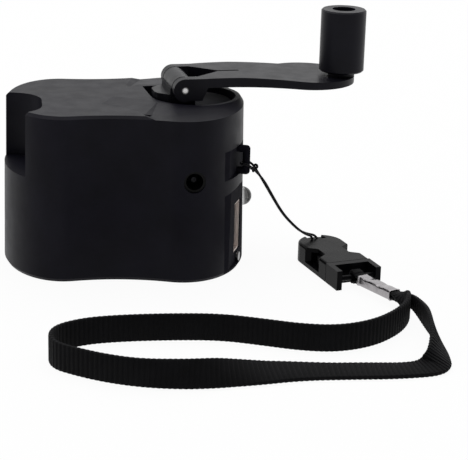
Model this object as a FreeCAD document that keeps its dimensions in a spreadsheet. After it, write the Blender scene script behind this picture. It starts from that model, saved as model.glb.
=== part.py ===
import FreeCAD, Part
import math
import os
import re
from FreeCAD import Matrix, Placement, Rotation, Vector

# Hand crank phone charger, in millimetres.
# Origin: middle of the base face, on the floor. +X runs along the case to the crank end,
# -Y is the front, +Z is up.

SIZES = {
    # case outline: two round lobes joined by a shallow waist, then stretched front to back
    "lobe_spacing": 29.5,
    "left_lobe_radius": 14.95,
    "right_lobe_radius": 16.95,
    "waist_half_width": 14.4,
    "depth_ratio": 1.428,
    "case_draft": 0.65,
    "foot_chamfer": 0.5,
    "foot_chamfer_height": 0.8,
    "top_edge_inset": 0.75,
    "top_edge_height": 0.7,
    "case_height": 41.75,
    "rim_rise": 0.35,
    "rim_width": 1.1,
    "flat_end": -16.1,
    "flat_end_turn": 0.275,
    "flat_end_run": 2.0,
    "pad_sink": 0.05,
    "wall": 1.8,
    "roof": 2.0,
    # crank recess and turntable
    "crank_x": 18.3,
    "crank_y": 0.0,
    "recess_radius": 10.95,
    "recess_depth": 2.95,
    "recess_floor_wall": 1.8,
    "recess_tip_reach": 15.2,
    "recess_tip_angle": 142.0,
    "turntable_gap": 0.75,
    "turntable_thickness": 1.4,
    "turntable_edge": 0.4,
    "bush_radius": 4.6,
    "bush_flange_radius": 6.2,
    "bush_flange": 0.35,
    "running_gap": 0.1,
    "shaft_radius": 3.0,
    "shaft_clearance": 0.05,
    # hinge between hub and arm
    "hinge_offset": 3.72,
    "fold_gap": 0.2,
    "pin_radius": 1.0,
    "pin_length": 17.4,
    "hinge_tilt": 5.0,
    "ear_radius": 2.9,
    "ear_thickness": 2.85,
    "ear_side_gap": 0.15,
    "ear_block": 4.4,
    "pedestal_half": 3.2,
    "leaf_drop": 1.6,
    "leaf_gap": 0.35,
    "leaf_root": 3.6,
    "leaf_cheek": 6.0,
    "leaf_cheek_half": 3.2,
    "leaf_reach": 6.5,
    "leaf_end_half": 2.0,
    # arm
    "arm_thickness": 2.4,
    "arm_end_drop": 0.8,
    "arm_end_radius": 11.6,
    "arm_end_reach": 33.4,
    "arm_end_side": 2.4,
    "arm_front_waist": 8.7,
    "arm_back_waist": 9.9,
    "arm_waist_reach": 15.0,
    "fork_square": 3.7,
    "fork_tip": 10.0,
    "fork_slot_end": 15.5,
    "fork_slot_width": 0.9,
    # knob
    "knob_reach": 41.2,
    "knob_side": 4.98,
    "knob_radius": 5.7,
    "knob_length": 15.75,
    "knob_boss_radius": 3.4,
    "knob_boss_height": 2.6,
    "knob_gap": 0.25,
    "knob_bore_radius": 2.9,
    "knob_bore_depth": 6.2,
    "knob_edge": 0.35,
    "axle_radius": 1.5,
    "axle_head_radius": 2.5,
    "axle_head_height": 1.3,
    # bay that takes the folded knob
    "bay_inner_x": -19.9,
    "bay_front_y": -16.4,
    "bay_back_y": 5.0,
    "bay_corner": 8.0,
    "bay_gap": 0.6,
    # base
    "base_thickness": 2.0,
    "base_gap": 0.15,
    "post_reach": 9.0,
    "post_side": 13.4,
    "post_radius": 2.6,
    "post_height": 16.0,
    "post_bore": 0.9,
    "screw_radius": 0.85,
    "screw_head_radius": 1.9,
    "screw_head_height": 1.2,
    "screw_length": 9.0,
    # USB facet
    "facet_angle": -22.0,
    "facet_offset": 30.87,
    "facet_side": 1.0,
    "facet_shift": -0.9,
    "facet_width": 18.0,
    "facet_bottom": 0.9,
    "facet_top": 20.8,
    "facet_peak": 1.0,
    "usb_height": 10.3,
    "usb_width": 5.7,
    "usb_tall": 13.1,
    "usb_depth": 13.8,
    "usb_sheet": 0.35,
    "usb_fit": 0.1,
    "tongue_thickness": 1.9,
    "tongue_tall": 11.0,
    "tongue_reach": 9.2,
    "contact_pitch": 2.5,
    "contact_width": 1.0,
    "end_screw_height": 2.2,
    "end_screw_head_radius": 1.15,
    # LED
    "led_radius": 2.45,
    "led_height": 15.0,
    "led_tip": 34.2,
    "led_flange_radius": 2.95,
    "led_flange": 1.0,
    # DC jack
    "jack_x": 16.4,
    "jack_height": 25.8,
    "jack_recess": 0.9,
    "jack_bore_radius": 2.1,
    "jack_nose_radius": 2.75,
    "jack_body_width": 7.0,
    "jack_body_depth": 9.0,
    "jack_seat": 1.9,
    "jack_pin_radius": 0.65,
    "jack_pin_length": 6.0,
    # lanyard eye
    "eye_bar_radius": 0.95,
    "eye_reach": 1.95,
    "eye_top": 30.8,
    "eye_bottom": 25.1,
    "eye_cord_height": 27.0,
    "scoop_depth": 0.37,
    "scoop_low": 24.6,
    "scoop_high": 32.1,
    # gear train
    "drive_teeth": 32,
    "drive_module": 0.6,
    "first_pinion_teeth": 10,
    "first_wheel_teeth": 38,
    "first_module": 0.5,
    "second_pinion_teeth": 10,
    "second_wheel_teeth": 30,
    "second_module": 0.4,
    "rotor_pinion_teeth": 10,
    "first_gear_angle": 172.0,
    "drive_gear_drop": 8.8,
    "first_wheel_drop": 12.6,
    "second_wheel_drop": 15.7,
    "gear_face": 2.6,
    "pinion_overlap": 0.4,
    "axle_pin_radius": 0.75,
    "gear_backlash": 0.1,
    "profile_shift": 0.45,
    "base_plate_drop": 18.4,
    "plate_thickness": 1.6,
    "top_plate_drop": 4.5,
    "pillar_radius": 1.8,
    # generator
    "generator_x": -13.6,
    "generator_y": 0.0,
    "generator_radius": 10.8,
    "generator_height": 13.0,
    "can_wall": 0.8,
    "rotor_radius": 6.6,
    "winding_gap": 0.4,
    "rotor_shaft_radius": 0.75,
    # circuit board
    "board_thickness": 1.2,
    "board_length": 22.0,
    "board_gap": 0.8,
    "capacitor_radius": 3.1,
    "capacitor_length": 11.0,
    # thin cord and wrist strap
    "cord_diameter": 0.6,
    "strap_width": 6.5,
    "strap_thickness": 1.1,
    "strap_lift": 0.5,
    # buckle
    "buckle_angle": -76.1,
    "buckle_nose_x": 51.5,
    "buckle_nose_y": -9.0,
    "buckle_radius": 6.0,
    "buckle_thickness": 5.0,
    "buckle_mouth": 15.5,
    "buckle_wall": 1.1,
    "buckle_play": 0.2,
    "clip_gap": 0.2,
    "clip_block": 1.9,
    "clip_end": 22.2,
    "clip_wall": 1.4,
    "clip_bar_reach": 20.9,
    "clip_bar_radius": 0.7,
    "prong_width": 1.6,
    "prong_outer": 4.4,
    "prong_reach": 9.5,
    "nose_slot_low": -3.9,
    "nose_slot_high": -2.3,
    "nose_slot_half": 2.4,
    "nose_bar_top": 4.2,
    "clamp_angle": -63.5,
    "clamp_width": 7.8,
    "clamp_height": 2.6,
    "clamp_length": 12.6,
    "clamp_sheet": 0.45,
    "layer_gap": 0.1,
}

doc = FreeCAD.newDocument("crank_charger")
sheet = doc.addObject("Spreadsheet::Sheet", "Sizes")
for row, (alias, value) in enumerate(SIZES.items(), 1):
    sheet.set(f"A{row}", alias.replace("_", " "))
    sheet.set(f"B{row}", str(value))
    sheet.setAlias(f"B{row}", alias)
doc.recompute()


class Values:
    """The sheet's numbers, read by name."""

    def __getattr__(self, alias):
        return float(sheet.get(alias))


s = Values()
Z = Vector(0, 0, 1)
NODES = []

# heights that follow the case's top and the crank recess
rim_z = s.case_height + s.rim_rise
edge_z = s.case_height - s.top_edge_height
recess_floor = s.case_height - s.recess_depth
pin_z = rim_z + s.fold_gap + s.ear_radius
arm_top = pin_z + s.ear_radius
arm_low = arm_top - s.arm_thickness
boss_top = arm_low + s.knob_boss_height
knob_top = boss_top + s.knob_gap + s.knob_length
# the folded knob hangs as far below the hinge as it stands above it when the crank is open
bay_floor = 2 * pin_z - knob_top - s.bay_gap
turntable_radius = s.recess_radius - s.turntable_gap
drive_gear_z = recess_floor - s.drive_gear_drop
first_wheel_z = recess_floor - s.first_wheel_drop
second_wheel_z = recess_floor - s.second_wheel_drop
base_plate_z = recess_floor - s.base_plate_drop
top_plate_z = recess_floor - s.top_plate_drop


def bind(thing, prop, text):
    """Tie a property to the sheet; plain words in the text are the sheet's aliases."""
    tied = re.sub(r"[a-z]\w*", lambda m: "Sizes." + m.group(0) if m.group(0) in SIZES else m.group(0), text)
    thing.setExpression(prop, tied)


def node(thing, label):
    """Name a finished sub-part; its label names its file."""
    thing.Label = label
    NODES.append(thing)
    return thing


def feature(shape, name):
    """A piece worked out with Part's own functions from the sheet's values."""
    thing = doc.addObject("Part::Feature", name)
    thing.Shape = shape
    return thing


def cylinder(name, radius, height, base, direction=Z):
    """A round piece whose radius, height and place are tied to the sheet."""
    thing = doc.addObject("Part::Cylinder", name)
    thing.Placement = Placement(Vector(), Rotation(Z, direction))
    bind(thing, "Radius", radius)
    bind(thing, "Height", height)
    for letter, text in zip("xyz", base):
        bind(thing, f"Placement.Base.{letter}", text)
    return thing


def prism(points, low, high):
    """A straight prism over a flat outline of points."""
    ring = [Vector(x, y, low) for x, y in points]
    return Part.Face(Part.makePolygon(ring + ring[:1])).extrude(Vector(0, 0, high - low))


def rod(radius, start, end):
    """A round bar between two points."""
    along = end - start
    return Part.makeCylinder(radius, along.Length, start, along)


def moved(shape, placement):
    shape = shape.copy()
    shape.Placement = placement.multiply(shape.Placement)
    return shape


# ---------------------------------------------------------------- case outline

def case_wire(inset, z):
    """The case outline, moved in by inset: two lobe arcs and two waist arcs, then stretched in Y."""
    stretch = (s.depth_ratio * s.right_lobe_radius - inset) / (s.right_lobe_radius - inset)
    left = s.left_lobe_radius - inset
    right = s.right_lobe_radius - inset
    waist = (s.depth_ratio * s.waist_half_width - inset) / stretch
    x1 = -s.lobe_spacing / 2
    x2 = s.lobe_spacing / 2
    # the waist arc touches both lobes from outside and its lowest point is at the waist's half width
    low, high = 0.0, 500.0
    for _ in range(60):
        mid = (low + high) / 2
        top = waist + mid
        span = math.sqrt((left + mid) ** 2 - top * top) + math.sqrt((right + mid) ** 2 - top * top)
        if span < x2 - x1:
            low = mid
        else:
            high = mid
    radius = (low + high) / 2
    top = waist + radius
    centre_x = x1 + math.sqrt((left + radius) ** 2 - top * top)
    edges = []
    touch = {}
    for side in (1, -1):
        centre = Vector(centre_x, side * top, 0)
        for key, lobe_x, lobe_r in (("l", x1, left), ("r", x2, right)):
            lobe = Vector(lobe_x, 0, 0)
            touch[key, side] = lobe + (centre - lobe).normalize() * lobe_r
        bottom = Vector(centre_x, side * waist, 0)
        edges.append(Part.Arc(touch["l", side], bottom, touch["r", side]).toShape())
    left_end = Vector(x1 - left, 0, 0)
    right_end = Vector(x2 + right, 0, 0)
    edges.append(Part.Arc(touch["l", 1], left_end, touch["l", -1]).toShape())
    edges.append(Part.Arc(touch["r", 1], right_end, touch["r", -1]).toShape())
    wire = Part.Wire(Part.__sortEdges__(edges))
    grow = Matrix()
    grow.scale(1, stretch, 1)
    wire = wire.transformGeometry(grow)
    wire.translate(Vector(0, 0, z))
    return wire


def case_solid(levels):
    """A ruled body through the outline at (height, inset) levels."""
    return Part.makeLoft([case_wire(inset, z) for z, inset in levels], True, True)


hub = Vector(s.crank_x, s.crank_y, 0)
draft_per_mm = s.case_draft / s.case_height


def draft_at(z):
    return draft_per_mm * z


def rounded_bay(grow, low, high):
    """The knob bay: a slot with rounded inner corners, open to the left."""
    x = s.bay_inner_x + grow
    front = s.bay_front_y - grow
    back = s.bay_back_y + grow
    r = s.bay_corner + grow
    far = x - 40
    k = r * (1 - math.sqrt(0.5))
    path = [
        Part.LineSegment(Vector(far, front, low), Vector(x - r, front, low)),
        Part.Arc(Vector(x - r, front, low), Vector(x - k, front + k, low), Vector(x, front + r, low)),
        Part.LineSegment(Vector(x, front + r, low), Vector(x, back - r, low)),
        Part.Arc(Vector(x, back - r, low), Vector(x - k, back - k, low), Vector(x - r, back, low)),
        Part.LineSegment(Vector(x - r, back, low), Vector(far, back, low)),
        Part.LineSegment(Vector(far, back, low), Vector(far, front, low)),
    ]
    face = Part.Face(Part.Wire([edge.toShape() for edge in path]))
    return face.extrude(Vector(0, 0, high - low))


# frame of the flat facet at the right end: out, along (up is Z)
facet_turn = math.radians(s.facet_angle)
facet_out = Vector(math.cos(facet_turn), math.sin(facet_turn), 0)
facet_along = Vector(-math.sin(facet_turn), math.cos(facet_turn), 0)
facet_middle = facet_out * s.facet_offset + facet_along * s.facet_side
facet_place = Placement(facet_middle, Rotation(Z, s.facet_angle))


def facet_box(out_low, out_high, side_low, side_high, z_low, z_high):
    """A box in the facet's own frame: X out of the facet, Y along it."""
    box = Part.makeBox(out_high - out_low, side_high - side_low, z_high - z_low,
                       Vector(out_low, side_low, z_low))
    return moved(box, facet_place)


post_places = [
    Vector(s.lobe_spacing / 2 + s.post_reach, s.post_side, 0),
    Vector(s.lobe_spacing / 2 - 2.0, -17.0, 0),
    Vector(-s.lobe_spacing / 2 + s.post_reach + 0.6, s.post_side - 0.2, 0),
    Vector(-s.lobe_spacing / 2 + s.post_reach + 0.6, -s.post_side + 0.2, 0),
]


def faceted(corners, faces):
    """A solid closed by flat faces, each given as the names of its corners."""
    sides = [Part.Face(Part.makePolygon([corners[k] for k in face + face[:1]])) for face in faces]
    return Part.Solid(Part.Shell(sides))


def make_pad():
    """Low raised pad beside the crank recess; its front facet falls from a ridge to the flat top."""
    plan = {"a": (-5.8, -8.8), "b": (-2.0, -1.2), "c": (2.0, 7.7), "d": (5.4, 11.3), "e": (16.4, 11.2),
            "h": (s.crank_x, s.crank_y), "r": (9.0, -6.6), "g": (7.4, -16.8), "f": (4.4, -18.6)}
    level = s.case_height - s.pad_sink
    heights = {"a": level, "f": level, "g": edge_z - s.pad_sink}
    corners = {}
    for key, (x, y) in plan.items():
        corners[key] = Vector(x, y, edge_z - 1)
        corners[key.upper()] = Vector(x, y, heights.get(key, rim_z))
    around = "abcdehrgf"
    faces = [around, "BCDEHR", "ABR", "ARF", "FRG"]
    for one, two in zip(around, around[1:] + around[:1]):
        faces.append(one + two + two.upper() + one.upper())
    return faceted(corners, faces)


def flat_limit(run, z):
    """Plan limit of the flat top: its right end runs beside the cone round the recess."""
    far = 2 * s.right_lobe_radius
    middle = hub.x + s.flat_end + run
    points = [(-far, -far), (middle + (far - 12) * s.flat_end_turn, -far), (middle, -12.0), (middle, 12.0),
              (middle + (far - 12) * s.flat_end_turn, far), (-far, far)]
    ring = [Vector(x, y, z) for x, y in points]
    return Part.makePolygon(ring + ring[:1])


def make_shell():
    top = s.case_height
    low_body = case_solid([
        (0, s.foot_chamfer),
        (s.foot_chamfer_height, 0),
        (edge_z, draft_at(edge_z)),
    ])
    flat_top = case_solid([(edge_z, draft_at(edge_z)), (top, draft_at(edge_z) + s.top_edge_inset)])
    limits = [Part.Wire(flat_limit(s.flat_end_run, edge_z)), Part.Wire(flat_limit(0, top))]
    flat_top = flat_top.common(Part.makeLoft(limits, True, True))
    # conical shoulder from the right lobe's wall up to the rim of the crank recess
    inset = draft_at(edge_z)
    stretch = (s.depth_ratio * s.right_lobe_radius - inset) / (s.right_lobe_radius - inset)
    ring = Part.Wire(Part.makeCircle(s.right_lobe_radius - inset, Vector(0, 0, 0)))
    grow = Matrix()
    grow.scale(1, stretch, 1)
    ring = ring.transformGeometry(grow)
    ring.translate(Vector(s.lobe_spacing / 2, 0, edge_z))
    rim = Part.Wire(Part.makeCircle(s.recess_radius + s.rim_width, hub + Z * rim_z))
    shoulder = Part.makeLoft([ring, rim], True, True)
    outer = low_body.fuse([flat_top, shoulder, make_pad()])

    # hollow inside: full height on the left, lower under the crank recess
    under_recess = recess_floor - s.recess_floor_wall
    under_roof = top - s.roof
    far = s.lobe_spacing + s.right_lobe_radius
    hollow = case_solid([(-1, s.wall), (under_roof, s.wall + draft_at(under_roof))])
    left_end = s.crank_x - s.recess_tip_reach - s.wall
    hollow = hollow.cut(Part.makeBox(far, 2 * far, top, Vector(left_end, -far, under_recess)))
    shell = outer.cut(hollow)

    # bay walls and screw posts are moulded inside
    inside = case_solid([(s.base_thickness + s.base_gap, s.wall / 2), (under_roof, s.wall / 2 + s.case_draft)])
    bay_walls = rounded_bay(s.wall, bay_floor - s.wall, under_roof + 0.5).common(inside)
    posts = [Part.makeCylinder(s.post_radius, s.post_height, place + Z * (s.base_thickness + s.base_gap))
             for place in post_places]
    ribs = []
    for place in post_places:
        out = Vector(place.x - math.copysign(s.lobe_spacing / 2, place.x), place.y, 0).normalize()
        side = Vector(-out.y, out.x, 0) * (s.wall / 2)
        corners = [place - side, place + out * 8 - side, place + out * 8 + side, place + side]
        ribs.append(prism([(c.x, c.y) for c in corners], s.base_thickness + s.base_gap,
                          s.base_thickness + s.base_gap + s.post_height).common(inside))
    shell = shell.fuse([bay_walls] + posts + ribs)

    # crank recess: a round well with a pointed corner at its back left
    well_top = rim_z + 5
    well = Part.makeCylinder(s.recess_radius, well_top - recess_floor, hub + Z * recess_floor)
    tip_turn = math.radians(s.recess_tip_angle)
    tip = hub + Vector(math.cos(tip_turn), math.sin(tip_turn), 0) * s.recess_tip_reach
    swing = math.acos(s.recess_radius / s.recess_tip_reach)
    flank = []
    for turn in (tip_turn + swing, tip_turn - swing):
        flank.append(hub + Vector(math.cos(turn), math.sin(turn), 0) * s.recess_radius)
    corner = prism([(p.x, p.y) for p in (hub, flank[0], tip, flank[1])], recess_floor, well_top)
    bush_hole = Part.makeCylinder(s.bush_radius, s.recess_floor_wall + 2,
                                  hub + Z * (under_recess - 1))
    cuts = [well, corner, bush_hole, rounded_bay(0, bay_floor, top + 5)]

    # flat facet with a peaked top, USB window, LED hole, end screw hole, DC jack hole
    low_y = s.facet_shift - s.facet_width / 2
    high_y = s.facet_shift + s.facet_width / 2
    outline = [(low_y, s.facet_bottom), (high_y, s.facet_bottom), (high_y, s.facet_top),
               (s.facet_shift, s.facet_top + s.facet_peak), (low_y, s.facet_top)]
    ring = [Vector(0, y, z) for y, z in outline]
    facet = Part.Face(Part.makePolygon(ring + ring[:1])).extrude(Vector(6, 0, 0))
    cuts.append(moved(facet, facet_place))
    cuts.append(facet_box(-s.scoop_depth, 6, low_y, high_y, s.scoop_low, s.scoop_high))
    window_y = s.usb_width / 2 + s.usb_fit
    window_z = s.usb_tall / 2 + s.usb_fit
    cuts.append(facet_box(-s.wall - 3, 1, -window_y, window_y,
                          s.usb_height - window_z, s.usb_height + window_z))
    wall_x = s.lobe_spacing / 2 + s.right_lobe_radius
    led_start = Vector(wall_x - 5, 0, s.led_height)
    cuts.append(Part.makeCylinder(s.led_radius + s.usb_fit, 8, led_start, Vector(1, 0, 0)))
    jack_start = Vector(s.jack_x, -s.depth_ratio * s.right_lobe_radius - 2, s.jack_height)
    cuts.append(Part.makeCylinder(s.jack_nose_radius, 8, jack_start, Vector(0, 1, 0)))
    for place in post_places:
        cuts.append(Part.makeCylinder(s.post_bore, s.post_height, place))
    screw_start = Vector(-5, 0, s.end_screw_height)
    screw_hole = Part.makeCylinder(s.screw_radius + s.usb_fit, 6, screw_start, Vector(1, 0, 0))
    cuts.append(moved(screw_hole, facet_place))
    for tool in cuts:
        shell = shell.cut(tool)

    # lanyard eye: a round bar that stands off the wall, in a shallow scoop above the facet
    upper = Vector(s.eye_reach, 0, s.eye_top)
    lower = Vector(s.eye_reach, 0, s.eye_bottom)
    root = Vector(-s.scoop_depth - s.wall / 3, 0, 0)
    eye = rod(s.eye_bar_radius, root + Z * s.eye_top, upper)
    eye = eye.fuse([
        rod(s.eye_bar_radius, root + Z * s.eye_bottom, lower),
        rod(s.eye_bar_radius, lower, upper),
        Part.makeSphere(s.eye_bar_radius, upper),
        Part.makeSphere(s.eye_bar_radius, lower),
    ])
    return shell.fuse(moved(eye, facet_place)).removeSplitter()


node(feature(make_shell(), "Shell"), "main_shell")

# ---------------------------------------------------------------- crank: turntable, arm, knob

hinge_turn = math.radians(s.hinge_tilt)
arm_way = Vector(math.cos(hinge_turn), math.sin(hinge_turn), 0)
pin_way = Vector(math.sin(hinge_turn), -math.cos(hinge_turn), 0)
hinge = hub - arm_way * s.hinge_offset
pin_middle = hinge + Z * pin_z
turntable_low = recess_floor + s.bush_flange + s.running_gap
turntable_top = turntable_low + s.turntable_thickness
fork_half = s.pin_length / 2 - s.ear_thickness
barrel_half = fork_half - s.ear_side_gap


def crank_point(reach, side, z):
    """A place on the crank: reach from the hinge along the arm, side towards the front, height z."""
    return hinge + arm_way * reach + pin_way * side + Z * z


def make_bush():
    low = recess_floor - s.recess_floor_wall
    bush = Part.makeCylinder(s.bush_radius, s.recess_floor_wall, hub + Z * low)
    bush = bush.fuse(Part.makeCylinder(s.bush_flange_radius, s.bush_flange, hub + Z * recess_floor))
    bore = s.shaft_radius + s.shaft_clearance
    return bush.cut(Part.makeCylinder(bore, 10, hub + Z * (low - 2)))


def make_hub():
    edge = s.turntable_edge
    disc = Part.makeCylinder(turntable_radius, s.turntable_thickness - edge, hub + Z * turntable_low)
    rounded = Part.makeCone(turntable_radius, turntable_radius - edge, edge,
                            hub + Z * (turntable_top - edge))
    barrel = Part.makeCylinder(s.ear_radius, 2 * barrel_half,
                               pin_middle - pin_way * barrel_half, pin_way)
    half = s.pedestal_half
    foot = [crank_point(a, b, 0) for a, b in ((-half, -barrel_half), (half, -barrel_half),
                                              (half, barrel_half), (-half, barrel_half))]
    pedestal = prism([(p.x, p.y) for p in foot], turntable_top - edge, pin_z)
    # low leaf behind the barrel; it sits in the arm's fork when the crank is folded
    wide = fork_half - s.leaf_gap
    leaf_plan = [(-half + edge, wide), (-s.leaf_root, wide), (-s.leaf_cheek, s.leaf_cheek_half),
                 (-s.leaf_reach, s.leaf_end_half)]
    leaf_plan += [(a, -b) for a, b in reversed(leaf_plan)]
    leaf_foot = [crank_point(a, b, 0) for a, b in leaf_plan]
    leaf = prism([(p.x, p.y) for p in leaf_foot], turntable_top - edge, pin_z - s.leaf_drop)
    bottom = drive_gear_z - s.running_gap
    shaft = Part.makeCylinder(s.shaft_radius, turntable_low - bottom, hub + Z * bottom)
    flat = Part.makeBox(2 * s.shaft_radius, 2 * s.shaft_radius, s.gear_face + s.running_gap,
                        Vector(-s.shaft_radius, s.shaft_radius * 0.7, bottom))
    flat.translate(hub)
    shape = disc.fuse([rounded, barrel, pedestal, leaf, shaft]).cut(flat)
    screw_bore = Part.makeCylinder(s.screw_radius, 8, hub + Z * (bottom - 1))
    pin_bore = Part.makeCylinder(s.pin_radius + s.shaft_clearance, 2 * barrel_half + 2,
                                 pin_middle - pin_way * (barrel_half + 1), pin_way)
    return shape.cut(screw_bore).cut(pin_bore).removeSplitter()


def make_arm():
    """Plate with two ears; the fork between them is a short square gap, a triangle and a slot."""
    end = crank_point(s.arm_end_reach, s.arm_end_side, 0)
    root = s.pin_length / 2
    # where the waisted edges run into the round end
    lean = math.radians(62)
    join_front = end + (pin_way * math.sin(lean) - arm_way * math.cos(lean)) * s.arm_end_radius
    join_back = end - (pin_way * math.sin(lean) + arm_way * math.cos(lean)) * s.arm_end_radius
    far_end = end + arm_way * s.arm_end_radius
    front = [crank_point(0, root, 0), crank_point(s.ear_block, root, 0),
             crank_point(s.arm_waist_reach, s.arm_front_waist, 0), join_front]
    back = [crank_point(0, -root, 0), crank_point(s.ear_block, -root, 0),
            crank_point(s.arm_waist_reach, -s.arm_back_waist, 0), join_back]
    curves = []
    for side in (front, back):
        curve = Part.BSplineCurve()
        curve.interpolate(side[1:])
        curves.append(curve.toShape())
    wire = Part.Wire(Part.__sortEdges__([
        Part.LineSegment(front[0], back[0]).toShape(),
        Part.LineSegment(front[0], front[1]).toShape(),
        Part.LineSegment(back[0], back[1]).toShape(),
        curves[0], curves[1],
        Part.Arc(join_front, far_end, join_back).toShape(),
    ]))
    wire.translate(Z * arm_low)
    plate = Part.Face(wire).extrude(Z * s.arm_thickness)
    shape = plate
    for side in (1, -1):
        inner = pin_way * side * fork_half
        ear = Part.makeCylinder(s.ear_radius, s.ear_thickness, pin_middle + inner, pin_way * side)
        outline = [(0, -s.ear_radius + 0.25), (s.ear_block, -s.ear_radius + 0.25),
                   (s.ear_block + 1.4, s.ear_radius - s.arm_thickness), (s.ear_block + 1.4, s.ear_radius),
                   (0, s.ear_radius)]
        ring = [pin_middle + inner + arm_way * a + Z * up for a, up in outline]
        block = Part.Face(Part.makePolygon(ring + ring[:1])).extrude(pin_way * side * s.ear_thickness)
        shape = shape.fuse([ear, block])
    slot = s.fork_slot_width / 2
    fork = [crank_point(a, b, 0) for a, b in (
        (-s.ear_radius - 1, -fork_half), (s.fork_square, -fork_half), (s.fork_tip, -slot),
        (s.fork_slot_end, -slot), (s.fork_slot_end, slot), (s.fork_tip, slot),
        (s.fork_square, fork_half), (-s.ear_radius - 1, fork_half))]
    shape = shape.cut(prism([(p.x, p.y) for p in fork], pin_z - s.ear_radius - 1, arm_top + 1))
    # the top face falls gently towards the knob
    slope_start = s.arm_waist_reach
    slope_end = s.arm_end_reach + s.arm_end_radius
    slope_low = arm_top - s.arm_end_drop
    wide = 2 * s.arm_end_radius
    ring = [crank_point(a, -wide, z) for a, z in (
        (slope_start, arm_top), (slope_end, slope_low), (slope_end + 5, slope_low),
        (slope_end + 5, arm_top + 3), (slope_start, arm_top + 3))]
    wedge = Part.Face(Part.makePolygon(ring + ring[:1])).extrude(pin_way * 2 * wide)
    shape = shape.cut(wedge)
    knob_place = crank_point(s.knob_reach, s.knob_side, arm_low)
    boss = Part.makeCylinder(s.knob_boss_radius, s.knob_boss_height, knob_place)
    shape = shape.fuse(boss)
    shape = shape.cut(Part.makeCylinder(s.axle_radius, 20, knob_place - Z))
    pin_bore = Part.makeCylinder(s.pin_radius, s.pin_length + 4,
                                 pin_middle - pin_way * (root + 2), pin_way)
    return shape.cut(pin_bore).removeSplitter()


def make_knob():
    place = crank_point(s.knob_reach, s.knob_side, boss_top + s.knob_gap)
    height = s.knob_length
    edge = s.knob_edge
    r = s.knob_radius
    profile = [(s.axle_radius + s.shaft_clearance, 0), (r - edge, 0), (r, edge), (r, height - edge),
               (r - edge, height), (s.knob_bore_radius, height),
               (s.knob_bore_radius, height - s.knob_bore_depth),
               (s.axle_radius + s.shaft_clearance, height - s.knob_bore_depth)]
    ring = [place + Vector(x, 0, z) for x, z in profile]
    return Part.Face(Part.makePolygon(ring + ring[:1])).revolve(place, Z, 360)


def make_knob_axle():
    seat = knob_top - s.knob_bore_depth + s.running_gap
    foot = 0.7
    place = crank_point(s.knob_reach, s.knob_side, 0)
    shape = Part.makeCylinder(s.axle_radius, seat - arm_low + foot, place + Z * (arm_low - foot))
    head = Part.makeCylinder(s.axle_head_radius, s.axle_head_height, place + Z * seat)
    tail = Part.makeCylinder(s.axle_head_radius, foot, place + Z * (arm_low - foot))
    slot = Part.makeBox(2 * s.axle_head_radius, 0.6, 0.6,
                        place + Vector(-s.axle_head_radius, -0.3, seat + s.axle_head_height - 0.6))
    return shape.fuse([head, tail]).cut(slot).removeSplitter()


node(feature(make_bush(), "Bush"), "hub_bush")
node(feature(make_hub(), "Hub"), "crank_hub")
node(feature(make_arm(), "Arm"), "crank_arm")
pin = cylinder("HingePin", "pin_radius", "pin_length",
               ("0", "0", "case_height + rim_rise + fold_gap + ear_radius"), pin_way)
bind(pin, "Placement.Base.x", "crank_x - hinge_offset * cos(hinge_tilt * 1 deg)"
     " - pin_length / 2 * sin(hinge_tilt * 1 deg)")
bind(pin, "Placement.Base.y", "crank_y - hinge_offset * sin(hinge_tilt * 1 deg)"
     " + pin_length / 2 * cos(hinge_tilt * 1 deg)")
node(pin, "hinge_pin")
node(feature(make_knob(), "Knob"), "knob")
node(feature(make_knob_axle(), "KnobAxle"), "knob_axle")

# ---------------------------------------------------------------- gear train

PRESSURE = math.radians(20)


def involute(angle):
    return math.tan(angle) - angle


def gear_outline(teeth, module, shift, phase, centre):
    """Involute teeth as a closed ring of points, one tooth centred on the phase angle."""
    pitch = teeth * module / 2
    base = pitch * math.cos(PRESSURE)
    tip = pitch + module * (0.95 + shift)
    root = pitch - module * (1.25 - shift)
    half_pitch = (math.pi / 2 + 2 * shift * math.tan(PRESSURE)) / teeth - s.gear_backlash / (4 * pitch)
    start = max(base, root)
    flank = []
    for k in range(4):
        r = start + (tip - start) * k / 3
        turn = half_pitch + involute(PRESSURE) - involute(math.acos(min(1, base / r)))
        flank.append((r, turn))
    if root < base:
        flank.insert(0, (root, flank[0][1]))
    points = []
    for tooth in range(teeth):
        middle = phase + 2 * math.pi * tooth / teeth
        side = [(r, middle - turn) for r, turn in flank]
        side += [(r, middle + turn) for r, turn in reversed(flank)]
        points += [(centre.x + r * math.cos(a), centre.y + r * math.sin(a)) for r, a in side]
    return points


def gear(teeth, module, shift, phase, centre, low, face):
    return prism(gear_outline(int(teeth), module, shift, phase, centre), low, low + face)


def mesh_phase(driver_phase, driver_teeth, teeth, line):
    """Phase that puts a gap where the driver's tooth points, along the line of centres."""
    return line + math.pi + math.pi / teeth - (driver_phase - line) * driver_teeth / teeth


def line_angle(a, b):
    return math.atan2(b.y - a.y, b.x - a.x)


def centre_distance(teeth_a, teeth_b, module):
    return (teeth_a + teeth_b) * module / 2


first_turn = math.radians(s.first_gear_angle)
first_gap = centre_distance(s.drive_teeth, s.first_pinion_teeth, s.drive_module)
first = hub + Vector(math.cos(first_turn), math.sin(first_turn), 0) * first_gap
rotor = Vector(s.generator_x, s.generator_y, 0)
# the second gear sits where it meets both the first wheel and the generator's pinion
reach_first = centre_distance(s.first_wheel_teeth, s.second_pinion_teeth, s.first_module)
reach_rotor = centre_distance(s.second_wheel_teeth, s.rotor_pinion_teeth, s.second_module)
span = (first - rotor).Length
along = (span ** 2 + reach_rotor ** 2 - reach_first ** 2) / (2 * span)
across = math.sqrt(reach_rotor ** 2 - along ** 2)
unit = (first - rotor).normalize()
second = rotor + unit * along + Vector(unit.y, -unit.x, 0) * across

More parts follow.
